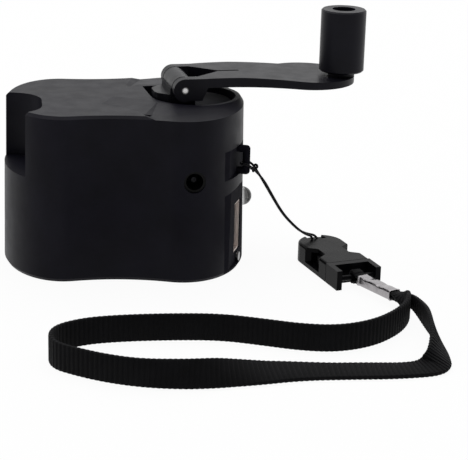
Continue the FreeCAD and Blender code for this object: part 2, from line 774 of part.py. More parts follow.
first_phase = mesh_phase(0, s.drive_teeth, s.first_pinion_teeth, line_angle(hub, first))
second_phase = mesh_phase(0, s.first_wheel_teeth, s.second_pinion_teeth, line_angle(first, second))
rotor_phase = mesh_phase(0, s.second_wheel_teeth, s.rotor_pinion_teeth, line_angle(second, rotor))
shift = s.profile_shift
pin_bore_radius = s.axle_pin_radius + s.shaft_clearance


def bored(shape, centre, radius, low, high):
    return shape.cut(Part.makeCylinder(radius, high - low, centre + Z * low))


def make_drive_gear():
    low, face = drive_gear_z, s.gear_face
    wheel = gear(s.drive_teeth, s.drive_module, -shift, 0, hub, low, face)
    groove_out = s.drive_teeth * s.drive_module / 2 - 2.2
    groove = Part.makeCylinder(groove_out, 0.8, hub + Z * (low + face - 0.8))
    groove = groove.cut(Part.makeCylinder(s.shaft_radius + 1.8, 0.8, hub + Z * (low + face - 0.8)))
    bore = Part.makeCylinder(s.shaft_radius, face + 2, hub + Z * (low - 1))
    flat = Part.makeBox(2 * s.shaft_radius, 2 * s.shaft_radius, face + 2,
                        Vector(-s.shaft_radius, s.shaft_radius * 0.7, low - 1))
    flat.translate(hub)
    return wheel.cut(groove).cut(bore.cut(flat))


def compound(wheel_teeth, wheel_module, wheel_low, pinion_teeth, pinion_module, pinion_shift_phase,
             pinion_top, centre):
    """A wheel with a pinion moulded on top of it, on a plain bore."""
    wheel = gear(wheel_teeth, wheel_module, -shift, 0, centre, wheel_low, s.gear_face)
    start = wheel_low + s.gear_face
    pinion = gear(pinion_teeth, pinion_module, shift, pinion_shift_phase, centre, start - 0.05,
                  pinion_top - start + 0.05)
    whole = wheel.fuse(pinion)
    return bored(whole, centre, pin_bore_radius, wheel_low - 1, pinion_top + 1)


def make_screw(place, way, radius, length, head_radius, head_height):
    """Pan-head screw; way points from the head into the thread."""
    shank = Part.makeCylinder(radius, length, place, way)
    head = Part.makeCylinder(head_radius, head_height, place - way * head_height, way)
    return shank.fuse(head)


node(feature(make_drive_gear(), "DriveGear"), "drive_gear")
first_top = drive_gear_z + s.gear_face + s.pinion_overlap
node(feature(compound(s.first_wheel_teeth, s.first_module, first_wheel_z, s.first_pinion_teeth,
                      s.drive_module, first_phase, first_top, first), "FirstGear"), "first_gear")
second_top = first_wheel_z + s.gear_face + s.pinion_overlap
node(feature(compound(s.second_wheel_teeth, s.second_module, second_wheel_z, s.second_pinion_teeth,
                      s.first_module, second_phase, second_top, second), "SecondGear"), "second_gear")
screw_low = drive_gear_z - s.running_gap
washer = Part.makeCylinder(s.shaft_radius + 1.4, 0.5, hub + Z * (screw_low - 0.5))
washer = washer.cut(Part.makeCylinder(s.screw_radius, 2, hub + Z * (screw_low - 1)))
node(feature(washer, "Washer"), "hub_washer")
hub_screw = make_screw(hub + Z * (screw_low - 0.5), Z, s.screw_radius, 7.0, s.screw_head_radius,
                       s.screw_head_height)
node(feature(hub_screw, "HubScrew"), "hub_screw")

# ---------------------------------------------------------------- gearbox frame

plate_top = base_plate_z + s.plate_thickness
pillars = [
    first + Vector(-9.0, 8.4, 0),
    hub + Vector(-9.0, -15.5, 0),
    hub + Vector(5.0, 13.2, 0),
]


def hull_plate(discs, low, thickness):
    """A flat plate round a set of discs, joined by straight-sided webs."""
    shapes = [Part.makeCylinder(r, thickness, c + Z * low) for c, r in discs]
    for (c1, r1), (c2, r2) in zip(discs, discs[1:]):
        way = (c2 - c1).normalize()
        side = Vector(-way.y, way.x, 0)
        w1, w2 = r1 * 0.98, r2 * 0.98
        corners = [c1 + side * w1, c2 + side * w2, c2 - side * w2, c1 - side * w1]
        shapes.append(prism([(p.x, p.y) for p in corners], low, low + thickness))
    return shapes[0].fuse(shapes[1:]).removeSplitter()


def make_gearbox_base():
    r = s.pillar_radius
    discs = [(rotor, 8.6), (second, 5.0), (first, 5.0), (pillars[0], r + 0.6)]
    plate = hull_plate(discs, base_plate_z, s.plate_thickness)
    plate = plate.fuse(hull_plate([(first, 5.0), (pillars[1], r + 0.6)], base_plate_z, s.plate_thickness))
    plate = plate.fuse(hull_plate([(first, 5.0), (pillars[2], r + 0.6)], base_plate_z, s.plate_thickness))
    posts = [Part.makeCylinder(r, top_plate_z - plate_top, p + Z * plate_top) for p in pillars]
    plate = plate.fuse(posts)
    for p in pillars:
        plate = plate.cut(Part.makeCylinder(s.post_bore, 8, p + Z * (top_plate_z - 8)))
    for centre in (first, second):
        plate = plate.cut(Part.makeCylinder(s.axle_pin_radius, 6, centre + Z * (base_plate_z - 1)))
    plate = plate.cut(Part.makeCylinder(s.rotor_shaft_radius + 0.6, 6, rotor + Z * (base_plate_z - 1)))
    return plate.removeSplitter()


def make_gearbox_top():
    r = s.pillar_radius
    big = s.bush_radius + 2.0
    plate = hull_plate([(hub, big), (first, 3.4), (pillars[0], r + 0.6)], top_plate_z, s.plate_thickness)
    plate = plate.fuse(hull_plate([(hub, big), (pillars[1], r + 0.6)], top_plate_z, s.plate_thickness))
    plate = plate.fuse(hull_plate([(hub, big), (pillars[2], r + 0.6)], top_plate_z, s.plate_thickness))
    holes = [(hub, s.shaft_radius + 0.4), (first, s.axle_pin_radius)]
    holes += [(p, s.post_bore) for p in pillars]
    for centre, radius in holes:
        plate = plate.cut(Part.makeCylinder(radius, 6, centre + Z * (top_plate_z - 1)))
    return plate.removeSplitter()


node(feature(make_gearbox_base(), "GearboxBase"), "gearbox_base")
node(feature(make_gearbox_top(), "GearboxTop"), "gearbox_top")
screws = [make_screw(p + Z * (top_plate_z + s.plate_thickness), -Z, s.screw_radius, 5.0, 1.6, 0.9)
          for p in pillars]
node(feature(Part.makeCompound(screws), "GearboxScrews"), "gearbox_screws")
axle_low = "case_height - recess_depth - base_plate_drop"
first_axle = cylinder("FirstAxle", "axle_pin_radius", "base_plate_drop - top_plate_drop + plate_thickness",
                      ("0", "0", axle_low))
second_axle = doc.addObject("Part::Cylinder", "SecondAxle")
second_axle.Placement.Base = Vector(second.x, second.y, 0)
bind(second_axle, "Radius", "axle_pin_radius")
bind(second_axle, "Placement.Base.z", axle_low)
bind(first_axle, "Placement.Base.x",
     "crank_x + cos(first_gear_angle * 1 deg) * (drive_teeth + first_pinion_teeth) * drive_module / 2")
bind(first_axle, "Placement.Base.y",
     "crank_y + sin(first_gear_angle * 1 deg) * (drive_teeth + first_pinion_teeth) * drive_module / 2")
bind(second_axle, "Height", "base_plate_drop - first_wheel_drop + gear_face + pinion_overlap")
node(first_axle, "first_axle")
node(second_axle, "second_axle")

# ---------------------------------------------------------------- generator

can_top = base_plate_z
can_low = can_top - s.generator_height


def make_can():
    """Deep-drawn can, open below, screwed under the gearbox base."""
    can = Part.makeCylinder(s.generator_radius, s.generator_height, rotor + Z * can_low)
    inner = s.generator_radius - s.can_wall
    can = can.cut(Part.makeCylinder(inner, s.generator_height - s.can_wall, rotor + Z * can_low))
    return can.cut(Part.makeCylinder(s.rotor_shaft_radius + s.shaft_clearance, 5, rotor + Z * (can_top - 3)))


def make_end_cap():
    cap = Part.makeCylinder(s.generator_radius - s.can_wall, 1.0, rotor + Z * can_low)
    bearing = Part.makeCylinder(2.2, 1.6, rotor + Z * (can_low + 1.0))
    cap = cap.fuse(bearing)
    return cap.cut(Part.makeCylinder(s.rotor_shaft_radius + s.shaft_clearance, 6, rotor + Z * (can_low - 1)))


def make_winding():
    outer = s.generator_radius - s.can_wall
    ring = Part.makeCylinder(outer, s.generator_height - 4.4, rotor + Z * (can_low + 2.8))
    return ring.cut(Part.makeCylinder(s.rotor_radius + s.winding_gap, s.generator_height,
                                      rotor + Z * can_low))


def make_rotor():
    pinion_low = second_wheel_z - s.pinion_overlap
    pinion_high = second_wheel_z + s.gear_face + s.pinion_overlap
    shaft = Part.makeCylinder(s.rotor_shaft_radius, pinion_high - can_low, rotor + Z * can_low)
    magnet = Part.makeCylinder(s.rotor_radius, s.generator_height - 5.2, rotor + Z * (can_low + 3.0))
    return shaft.fuse(magnet).removeSplitter(), pinion_low, pinion_high


rotor_shape, pinion_low, pinion_high = make_rotor()
node(feature(make_can(), "Can"), "generator_can")
node(feature(make_end_cap(), "EndCap"), "generator_end_cap")
node(feature(make_winding(), "Winding"), "generator_winding")
node(feature(rotor_shape, "Rotor"), "generator_rotor")
rotor_pinion = gear(s.rotor_pinion_teeth, s.second_module, shift, rotor_phase, rotor, pinion_low,
                    pinion_high - pinion_low)
rotor_pinion = rotor_pinion.cut(Part.makeCylinder(s.rotor_shaft_radius, 10, rotor + Z * (pinion_low - 1)))
node(feature(rotor_pinion, "RotorPinion"), "generator_pinion")

# ---------------------------------------------------------------- base, electronics, fittings


def make_base():
    inset = s.wall + s.base_gap
    plate = case_solid([(0, inset), (s.base_thickness, inset)])
    # lug behind the facet that takes the end screw
    lug = facet_box(-s.wall - 4.6, -s.wall - 0.9, -2.4, 2.4, 0.0, s.usb_height - s.usb_tall / 2 - 0.3)
    plate = plate.fuse(lug)
    # ledge the circuit board stands in and a cup under the generator
    cup = Part.makeCylinder(s.generator_radius, can_low - s.base_thickness, rotor + Z * s.base_thickness)
    cup = cup.cut(Part.makeCylinder(s.generator_radius - 1.6, 20, rotor + Z * s.base_thickness))
    plate = plate.fuse(cup)
    for place in post_places:
        plate = plate.cut(Part.makeCylinder(s.screw_radius + 0.15, 6, place - Z))
        plate = plate.cut(Part.makeCylinder(s.screw_head_radius + 0.15, s.screw_head_height + 0.1, place))
    hole = Part.makeCylinder(s.screw_radius, 8, Vector(-s.wall - 5, 0, s.end_screw_height), Vector(1, 0, 0))
    return plate.cut(moved(hole, facet_place)).removeSplitter()


node(feature(make_base(), "Base"), "base_cover")
base_screws = [make_screw(p + Z * (s.screw_head_height + 0.05), Z, s.screw_radius, s.screw_length,
                          s.screw_head_radius, s.screw_head_height) for p in post_places]
node(feature(Part.makeCompound(base_screws), "BaseScrews"), "base_screws")
end_screw = make_screw(Vector(0.05, 0, s.end_screw_height), Vector(-1, 0, 0), s.screw_radius, s.wall + 4.0,
                       s.end_screw_head_radius, 0.7)
node(feature(moved(end_screw, facet_place), "EndScrew"), "end_screw")

half_w, half_t = s.usb_width / 2, s.usb_tall / 2
low_z, high_z = s.usb_height - half_t, s.usb_height + half_t
usb_face = -0.25
sheet_t = s.usb_sheet
usb_shell = facet_box(usb_face - s.usb_depth, usb_face, -half_w, half_w, low_z, high_z)
usb_shell = usb_shell.cut(facet_box(usb_face - s.usb_depth + sheet_t, usb_face + 1, -half_w + sheet_t,
                                    half_w - sheet_t, low_z + sheet_t, high_z - sheet_t))
node(feature(usb_shell, "UsbShell"), "usb_shell")
tongue_y = half_w - sheet_t - 0.3
tongue = facet_box(usb_face - s.usb_depth + sheet_t, usb_face - 1.0, tongue_y - s.tongue_thickness, tongue_y,
                   s.usb_height - s.tongue_tall / 2, s.usb_height + s.tongue_tall / 2)
rear = facet_box(usb_face - s.usb_depth + sheet_t, usb_face - s.tongue_reach, -half_w + sheet_t,
                 half_w - sheet_t, low_z + sheet_t, high_z - sheet_t)
node(feature(tongue.fuse(rear).removeSplitter(), "UsbTongue"), "usb_tongue")
contacts = []
for k in range(4):
    z = s.usb_height + (k - 1.5) * s.contact_pitch
    contacts.append(facet_box(usb_face - s.tongue_reach, usb_face - 1.6, tongue_y - s.tongue_thickness - 0.2,
                              tongue_y - s.tongue_thickness, z - s.contact_width / 2, z + s.contact_width / 2))
node(feature(Part.makeCompound(contacts), "UsbContacts"), "usb_contacts")


def make_led():
    wall_x = s.lobe_spacing / 2 + s.right_lobe_radius - draft_at(s.led_height)
    inner = wall_x - s.wall
    back = Vector(inner - s.led_flange - 0.35, 0, s.led_height)
    flange = Part.makeCylinder(s.led_flange_radius, s.led_flange, back, Vector(1, 0, 0))
    body = Part.makeCylinder(s.led_radius, s.led_tip - s.led_radius - back.x, back, Vector(1, 0, 0))
    dome = Part.makeSphere(s.led_radius, Vector(s.led_tip - s.led_radius, 0, s.led_height))
    return flange.fuse([body, dome]).removeSplitter()


node(feature(make_led(), "Led"), "led_lens")

jack_wall_y = -s.depth_ratio * s.right_lobe_radius + draft_at(s.jack_height)
jack_inner = jack_wall_y + s.wall
jack_nose_y = jack_wall_y + s.jack_recess
half_j = s.jack_body_width / 2


def make_jack():
    """Barrel socket: a box behind the curved wall and a round nose through it."""
    seat = jack_inner + s.jack_seat
    body = Part.makeBox(s.jack_body_width, s.jack_body_depth, 2 * half_j - 0.7,
                        Vector(s.jack_x - half_j, seat, s.jack_height - half_j))
    front = Vector(s.jack_x, jack_nose_y, s.jack_height)
    inward = Vector(0, 1, 0)
    nose_piece = Part.makeCylinder(s.jack_nose_radius - s.shaft_clearance, seat - jack_nose_y + 0.5,
                                   front, inward)
    bore = Part.makeCylinder(s.jack_bore_radius, s.jack_body_depth, front - inward, inward)
    return body.fuse(nose_piece).cut(bore).removeSplitter()


node(feature(make_jack(), "Jack"), "dc_jack")
jack_end = jack_nose_y - 1 + s.jack_body_depth
jack_pin = Part.makeCylinder(s.jack_pin_radius, s.jack_pin_length,
                             Vector(s.jack_x, jack_end - s.jack_pin_length, s.jack_height), Vector(0, 1, 0))
node(feature(jack_pin, "JackPin"), "dc_jack_pin")

# the board stands on edge beside the USB socket
board_y = -half_w - s.board_thickness
board = facet_box(usb_face - 1.2 - s.board_length, usb_face - s.wall - 0.4, board_y, -half_w,
                  s.base_thickness, base_plate_z - s.board_gap)
node(feature(board, "Board"), "circuit_board")
parts_face = board_y
regulator = facet_box(-18.5, -13.5, parts_face - 1.6, parts_face, 11.0, 16.0)
node(feature(regulator, "Regulator"), "regulator")
diodes = [facet_box(-x - 2.6, -x, parts_face - 1.1, parts_face, 3.4, 7.4) for x in (5.0, 8.6, 12.2, 15.8)]
node(feature(Part.makeCompound(diodes), "Diodes"), "rectifier_diodes")
choke = moved(Part.makeCylinder(2.9, 3.0, Vector(-9.0, parts_face - 3.0, 13.0), Vector(0, 1, 0)), facet_place)
node(feature(choke, "Choke"), "inductor")
cap_axis = moved(Part.makeCylinder(s.capacitor_radius, s.capacitor_length,
                                   Vector(-18.0, -half_w + s.capacitor_radius, s.base_thickness + 1.0), Z),
                 facet_place)
node(feature(cap_axis, "Capacitor"), "storage_capacitor")

# ---------------------------------------------------------------- buckle

buckle_turn = math.radians(s.buckle_angle)
buckle_way = Vector(math.cos(buckle_turn), math.sin(buckle_turn), 0)
buckle_side = Vector(-math.sin(buckle_turn), math.cos(buckle_turn), 0)
nose = Vector(s.buckle_nose_x, s.buckle_nose_y, 0)
buckle_place = Placement(nose, Rotation(Z, s.buckle_angle))


def buckle_box(u_low, u_high, v_low, v_high, z_low, z_high):
    """A box in the buckle's own frame: X from the nose centre towards the strap, Y across."""
    return Part.makeBox(u_high - u_low, v_high - v_low, z_high - z_low, Vector(u_low, v_low, z_low))


def make_socket():
    """Female half: round nose with a cord slot, a flat pocket and a window at each side."""
    r, high, mouth, wall = s.buckle_radius, s.buckle_thickness, s.buckle_mouth, s.buckle_wall
    body = Part.makeCylinder(r, high).fuse(buckle_box(0, mouth, -r, r, 0, high)).removeSplitter()
    rims = [e for e in body.Edges if abs(e.BoundBox.ZLength) < 1e-6 and abs(e.BoundBox.ZMin - high) < 1e-6
            and e.BoundBox.XMin < mouth - 1e-3]
    body = body.makeFillet(0.7, rims)
    pocket = s.prong_outer + s.buckle_play + 0.1
    body = body.cut(buckle_box(3.5, mouth + 1, -pocket, pocket, wall, high - wall))
    for side in (1, -1):
        window = [(2.4, r + 1), (5.2, 3.3), (9.4, 3.3), (12.4, r + 1)]
        body = body.cut(prism([(u, v * side) for u, v in window], wall, high + 1))
    slot_low, slot_high, half = s.nose_slot_low, s.nose_slot_high, s.nose_slot_half
    body = body.cut(buckle_box(slot_low, slot_high, -half, half, -1, high + 1))
    # the bar in front of the slot sits below the top face, so the cord lies in a notch
    return body.cut(buckle_box(-r - 1, slot_low + 0.1, -half, half, s.nose_bar_top, high + 1))


def make_clip():
    """Male half: two prongs and a middle rib on a block, with a strap bar between two horns."""
    r, high, wall = s.buckle_radius, s.buckle_thickness, s.buckle_wall
    start = s.buckle_mouth + s.clip_gap
    block_end = start + s.clip_block
    low_z, high_z = wall + s.buckle_play, high - wall - s.buckle_play
    pieces = [buckle_box(start, block_end, -r, r, 0, high)]
    for side in (1, -1):
        low_v, high_v = sorted((side * (r - s.clip_wall), side * r))
        pieces.append(buckle_box(block_end, s.clip_end, low_v, high_v, 0, high))
        tip = s.buckle_mouth - s.prong_reach
        outer, inner = s.prong_outer, s.prong_outer - s.prong_width
        prong = [(start, inner - 0.5), (tip + 4.2, inner), (tip + 0.8, inner + 0.3), (tip, inner + 0.9),
                 (tip + 0.6, outer - 0.2), (tip + 2.0, outer), (start - 4.6, outer), (start - 3.6, outer - 0.9),
                 (start, outer - 0.9)]
        pieces.append(prism([(u, v * side) for u, v in prong], low_z, high_z))
    pieces.append(buckle_box(start - 7.2, start, -0.8, 0.8, low_z, high_z))
    half = r - s.clip_wall + 0.2
    bar = Part.makeCylinder(s.clip_bar_radius, 2 * half, Vector(s.clip_bar_reach, -half, s.clamp_height),
                            Vector(0, 1, 0))
    return pieces[0].fuse(pieces[1:] + [bar]).removeSplitter()


node(feature(moved(make_socket(), buckle_place), "BuckleSocket"), "buckle_socket")
node(feature(moved(make_clip(), buckle_place), "BuckleClip"), "buckle_clip")

clamp_turn = math.radians(s.clamp_angle)
clamp_way = Vector(math.cos(clamp_turn), math.sin(clamp_turn), 0)
clamp_side = Vector(-math.sin(clamp_turn), math.cos(clamp_turn), 0)
clamp_start = nose + buckle_way * (s.clip_end + 0.4) + buckle_side * 0.2
clamp_end = clamp_start + clamp_way * s.clamp_length
layer = (s.strap_thickness + s.layer_gap) / 2


def make_clamp():
    """Sheet folded round both layers of the strap, with its seam on the far side of the top."""
    half = s.clamp_width / 2
    inner = half - s.clamp_sheet
    space = layer + s.strap_thickness / 2 + 0.05
    outer = space + s.clamp_sheet
    length = s.clamp_length - 1.1
    tube = Part.makeBox(length, 2 * half, 2 * outer, Vector(0.8, -half, s.clamp_height - outer))
    long_edges = [e for e in tube.Edges if e.BoundBox.XLength > length - 1]
    tube = tube.makeFillet(0.8, long_edges)
    tube = tube.cut(Part.makeBox(s.clamp_length + 2, 2 * inner, 2 * space,
                                 Vector(-1, -inner, s.clamp_height - space)))
    seam = Part.makeBox(s.clamp_length + 2, 0.3, s.clamp_sheet + 1, Vector(-1, 1.4, s.clamp_height + space - 0.1))
    shape = tube.cut(seam)
    return moved(shape, Placement(clamp_start, Rotation(Z, s.clamp_angle)))


node(feature(make_clamp(), "Clamp"), "strap_clamp")

# ---------------------------------------------------------------- cord and strap

def route(points):
    """Straight runs with a tangent arc at every corner, as (start, end, arc centre or None)."""
    steps, radii = [], []
    here = points[0]
    for before, corner, after in zip(points, points[1:], points[2:]):
        run_in, run_out = corner - before, after - corner
        turn = run_in.getAngle(run_out)
        trim = 0.45 * min(run_in.Length, run_out.Length)
        radius = trim / math.tan(turn / 2)
        start = corner - run_in.normalize() * trim
        end = corner + run_out.normalize() * trim
        inward = ((start + end) * 0.5 - corner).normalize()
        centre = corner + inward * (radius / math.cos(turn / 2))
        steps.append((here, start, None))
        steps.append((start, end, centre))
        radii.append(radius)
        here = end
    steps.append((here, points[-1], None))
    return steps, radii


def arc_middle(start, end, centre):
    return centre + ((start + end) * 0.5 - centre).normalize() * (start - centre).Length


def route_length(steps):
    total = 0
    for start, end, centre in steps:
        if centre is None:
            total += (end - start).Length
        else:
            total += (start - centre).Length * (start - centre).getAngle(end - centre)
    return total


def round_cord(points, diameter, label):
    steps, radii = route(points)
    edges = []
    for start, end, centre in steps:
        if centre is None:
            edges.append(Part.LineSegment(start, end).toShape())
        else:
            edges.append(Part.Arc(start, arc_middle(start, end, centre), end).toShape())
    path = Part.Wire(edges)
    section = Part.Wire(Part.makeCircle(diameter / 2, points[0], points[1] - points[0]))
    shape = path.makePipeShell([section], True, False)
    expected = math.pi * diameter ** 2 / 4 * route_length(steps)
    print(f"{label}: length {route_length(steps):.1f}, tightest radius {min(radii):.2f}, "
          f"volume / (section x length) {shape.Volume / expected:.4f}")
    return shape


def stations(steps):
    """Points and directions along a route, arcs cut into turns of at most 12 degrees."""
    out = []
    walked = 0
    for start, end, centre in steps:
        if centre is None:
            length = (end - start).Length
            way = (end - start).normalize()
            count = max(1, math.ceil(length / 4))
            for k in range(count):
                out.append((start + way * (length * k / count), way, walked + length * k / count))
        else:
            arm, last = start - centre, end - centre
            sweep = arm.getAngle(last)
            axis = arm.cross(last).normalize()
            length = arm.Length * sweep
            count = max(1, math.ceil(math.degrees(sweep) / 12))
            for k in range(count):
                turned = Rotation(axis, math.degrees(sweep) * k / count).multVec(arm)
                out.append((centre + turned, axis.cross(turned).normalize(), walked + length * k / count))
        walked += length
    start, end, _ = steps[-1]
    out.append((end, (end - start).normalize(), walked))
    return out


eye = facet_middle + facet_out * s.eye_reach + Z * s.eye_cord_height
wrap = s.eye_bar_radius + s.cord_diameter / 2 + 0.1
strand_run = [  # middle of the two strands and the half distance between them
    (Vector(34.9, -11.6, 23.2), 0.6),
    (Vector(37.7, -11.0, 18.3), 0.36),
    (Vector(40.8, -10.2, 13.1), 0.36),
    (Vector(44.6, -8.9, 8.9), 0.5),
    (Vector(47.2, -7.9, 6.8), 0.7),
]
slot_middle = nose + buckle_way * ((s.nose_slot_low + s.nose_slot_high) / 2)
strand_side = Vector(-0.31, 0.951, 0).normalize()


def strand(sign):
    """One strand from the buckle up to the eye; sign is +1 towards the back."""
    foot = slot_middle + buckle_side * (0.85 * sign)
    points = [foot + Z * 1.5, foot + Z * (s.buckle_thickness + 0.45)]
    points += [middle + strand_side * (sign * half) for middle, half in reversed(strand_run)]
    points.append(eye + facet_out + facet_along * (wrap * sign) + Z * 0.2)
    return points


back_of_bar = [eye - facet_out * wrap + facet_along * wrap, eye - facet_out * wrap - facet_along * wrap]
cord_points = strand(1) + back_of_bar + strand(-1)[::-1]
node(feature(round_cord(cord_points, s.cord_diameter, "lanyard_cord"), "Cord"), "lanyard_cord")

# The strap is one closed ring: round the clip's bar, flat through the clamp in two layers, then
# turned upright and round the big loop.
bar_middle = nose + buckle_way * s.clip_bar_reach
flat_z = s.clamp_height
upright_z = s.strap_width / 2
around = s.clip_bar_radius + s.strap_thickness / 2 + 0.05
pair = [clamp_end + clamp_way * 0.9, Vector(64.4, -46.7, 0), Vector(65.1, -50.3, 0)]
pair_turns = [0, 45, 90]
loop = [(62.6, -56.2), (58.4, -62.2), (51.8, -67.8), (43.5, -70.4), (35.5, -69.0), (27.0, -65.2), (18.2, -61.6),
        (7.5, -60.6), (-4.0, -60.6), (-13.0, -61.8), (-20.0, -66.2), (-20.6, -74.2), (-14.6, -79.4), (-7.6, -83.8),
        (1.4, -87.2), (11.6, -88.9), (22.0, -88.0), (32.5, -86.1), (43.0, -86.3), (54.0, -86.9), (65.9, -85.6),
        (67.6, -75.0), (67.3, -65.5), (66.6, -57.0)]


def pair_point(k, sign):
    turn = math.radians(pair_turns[k])
    height = flat_z + (upright_z + s.strap_lift - flat_z) * k / (len(pair) - 1)
    offset = Z * math.cos(turn) - clamp_side * math.sin(turn)
    return pair[k] + Z * height + offset * (layer * sign)


strap_points = [
    clamp_start + clamp_way * 3.0 + Z * (flat_z - layer),
    clamp_start + Z * (flat_z - layer - 0.02),
    bar_middle + buckle_way * 0.4 + Z * (flat_z - around),
    bar_middle - buckle_way * around + Z * (flat_z - around),
    bar_middle - buckle_way * around + Z * (flat_z + around),
    bar_middle + buckle_way * 0.4 + Z * (flat_z + around),
    clamp_start + Z * (flat_z + layer + 0.02),
    clamp_start + clamp_way * 3.0 + Z * (flat_z + layer),
    clamp_start + clamp_way * 8.0 + Z * (flat_z + layer - 0.02),
]
strap_points += [pair_point(k, 1) for k in range(3)]
strap_points += [Vector(x, y, upright_z) for x, y in loop]
strap_points += [pair_point(k, -1) for k in (2, 1, 0)]
strap_points += [
    clamp_start + clamp_way * 8.0 + Z * (flat_z - layer + 0.02),
    clamp_start + clamp_way * 3.4 + Z * (flat_z - layer),
]


def ribbon(points, label):
    """Webbing: a flat section that turns from lying flat to standing upright along its route."""
    steps, radii = route(points)
    along = stations(steps)
    total = along[-1][2]
    # walked distances between which the webbing turns upright, going out and coming back
    marks = [0]
    for a, b in zip(points, points[1:]):
        marks.append(marks[-1] + (b - a).Length)
    scale = total / marks[-1]
    out_low, out_high = marks[9] * scale + 0.6, marks[11] * scale - 0.6
    back_low, back_high = marks[-5] * scale + 0.6, marks[-3] * scale - 0.6
    bar_end = marks[6] * scale + 0.8
    rings = []
    for point, way, walked in along:
        if walked <= out_low or walked >= back_high:
            turn = 0
        elif walked < out_high:
            turn = (walked - out_low) / (out_high - out_low)
        elif walked > back_low:
            turn = (back_high - walked) / (back_high - back_low)
        else:
            turn = 1
        turn = turn * turn * (3 - 2 * turn) * math.pi / 2
        flat = buckle_side if walked < bar_end else clamp_side
        level = flat * math.cos(turn) + Z * math.sin(turn)
        across = (level - way * level.dot(way)).normalize()
        thick = across.cross(way).normalize()
        a, b = across * (s.strap_width / 2), thick * (s.strap_thickness / 2)
        corners = [point + a + b, point - a + b, point - a - b, point + a - b]
        rings.append(Part.makePolygon(corners + corners[:1]))
    shape = Part.makeLoft(rings, True, True)
    expected = s.strap_width * s.strap_thickness * route_length(steps)
    print(f"{label}: length {route_length(steps):.1f}, tightest radius {min(radii):.2f}, "
          f"volume / (section x length) {shape.Volume / expected:.4f}")
    return shape


node(feature(ribbon(strap_points, "wrist_strap"), "Strap"), "wrist_strap")

# ---------------------------------------------------------------- check and write

doc.recompute()
faults = []
for thing in doc.Objects:
    if "Invalid" in thing.State or "Error" in thing.State:
        faults.append(f"{thing.Label}: {thing.State}")
for thing in NODES:
    if thing.Shape.isNull() or not thing.Shape.isValid() or not thing.Shape.Solids:
        faults.append(f"{thing.Label}: bad shape")
if faults:
    raise SystemExit("; ".join(faults))
os.makedirs("parts", exist_ok=True)
for thing in NODES:
    thing.Shape.exportStep(os.path.join("parts", thing.Label + ".step"))
print(len(NODES), "sub-parts written")
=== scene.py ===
# %% [markdown]
# # A hand crank phone charger
# A pocket charger with a fold-over crank stands on a pale floor, and its wrist strap lies in front of
# it. The solids come from the packed model, already in metres and in place. This file adds the camera,
# the thin cord and its knot, the ribbed webbing, the crimped clamp, dark rings of painted shade round the
# hinge, a finish for every piece, the floor and the light. Points given in the script are in millimetres,
# times MM.

# %% Load the packed model
import math

import bmesh
import bpy
from mathutils import Matrix, Vector


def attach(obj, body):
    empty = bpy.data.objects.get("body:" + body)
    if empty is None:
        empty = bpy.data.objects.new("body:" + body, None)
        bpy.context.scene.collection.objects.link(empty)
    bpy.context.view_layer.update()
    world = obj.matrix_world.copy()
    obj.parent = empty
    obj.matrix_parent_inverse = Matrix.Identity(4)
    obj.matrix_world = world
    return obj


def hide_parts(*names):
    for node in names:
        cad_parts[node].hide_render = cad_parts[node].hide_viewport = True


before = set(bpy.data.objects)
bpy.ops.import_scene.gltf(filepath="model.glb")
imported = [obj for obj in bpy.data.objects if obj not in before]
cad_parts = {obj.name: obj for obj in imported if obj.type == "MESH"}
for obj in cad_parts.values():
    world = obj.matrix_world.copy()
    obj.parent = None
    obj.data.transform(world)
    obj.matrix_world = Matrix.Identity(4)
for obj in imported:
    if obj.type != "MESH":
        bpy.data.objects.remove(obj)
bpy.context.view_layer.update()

MM = 0.001
UP = Vector((0, 0, 1))


# %% [markdown]
# ## Camera
# The charger was seen from a little to the left of its front and from well above the table, through a
# long lens, so upright edges hardly lean. The camera's axes are worked out from its heading, its dip
# below the horizon and a slight roll.

# %% Camera
CAMERA_HEADING = -0.07624
CAMERA_PAN = -0.073927
CAMERA_DIP = 0.321218
CAMERA_ROLL = 0.028151
CAMERA_DISTANCE = 400.0 * MM
CAMERA_HEIGHT = 139.782 * MM
CAMERA_LENS = 124.8

turn = CAMERA_HEADING + CAMERA_PAN
level_ahead = Vector((-math.sin(turn), math.cos(turn), 0))
level_right = Vector((math.cos(turn), math.sin(turn), 0))
ahead = level_ahead * math.cos(CAMERA_DIP) - UP * math.sin(CAMERA_DIP)
above = UP * math.cos(CAMERA_DIP) + level_ahead * math.sin(CAMERA_DIP)
right = level_right * math.cos(CAMERA_ROLL) + above * math.sin(CAMERA_ROLL)
above = above * math.cos(CAMERA_ROLL) - level_right * math.sin(CAMERA_ROLL)

camera = bpy.data.objects.new("camera", bpy.data.cameras.new("camera"))
bpy.context.collection.objects.link(camera)
camera.data.lens = CAMERA_LENS
camera.data.clip_start = 0.02
camera.data.clip_end = 20
camera.matrix_world = Matrix((
    (right.x, above.x, -ahead.x, CAMERA_DISTANCE * math.sin(CAMERA_HEADING)),
    (right.y, above.y, -ahead.y, -CAMERA_DISTANCE * math.cos(CAMERA_HEADING)),
    (right.z, above.z, -ahead.z, CAMERA_HEIGHT),
    (0, 0, 0, 1),
))
bpy.context.scene.camera = camera
print("camera at", [round(x, 3) for x in camera.location])


# %% [markdown]
# ## Routes
# A cord's route is a short list of given points. Blender draws a smooth NURBS line near them,
# as a thread would run if each point pulled at it, and every tube and rib then follows points read
# from that one line. A line made of straight runs and arcs would look like bent wire.

# %% Smooth line through a route
LINE_STEPS = 10


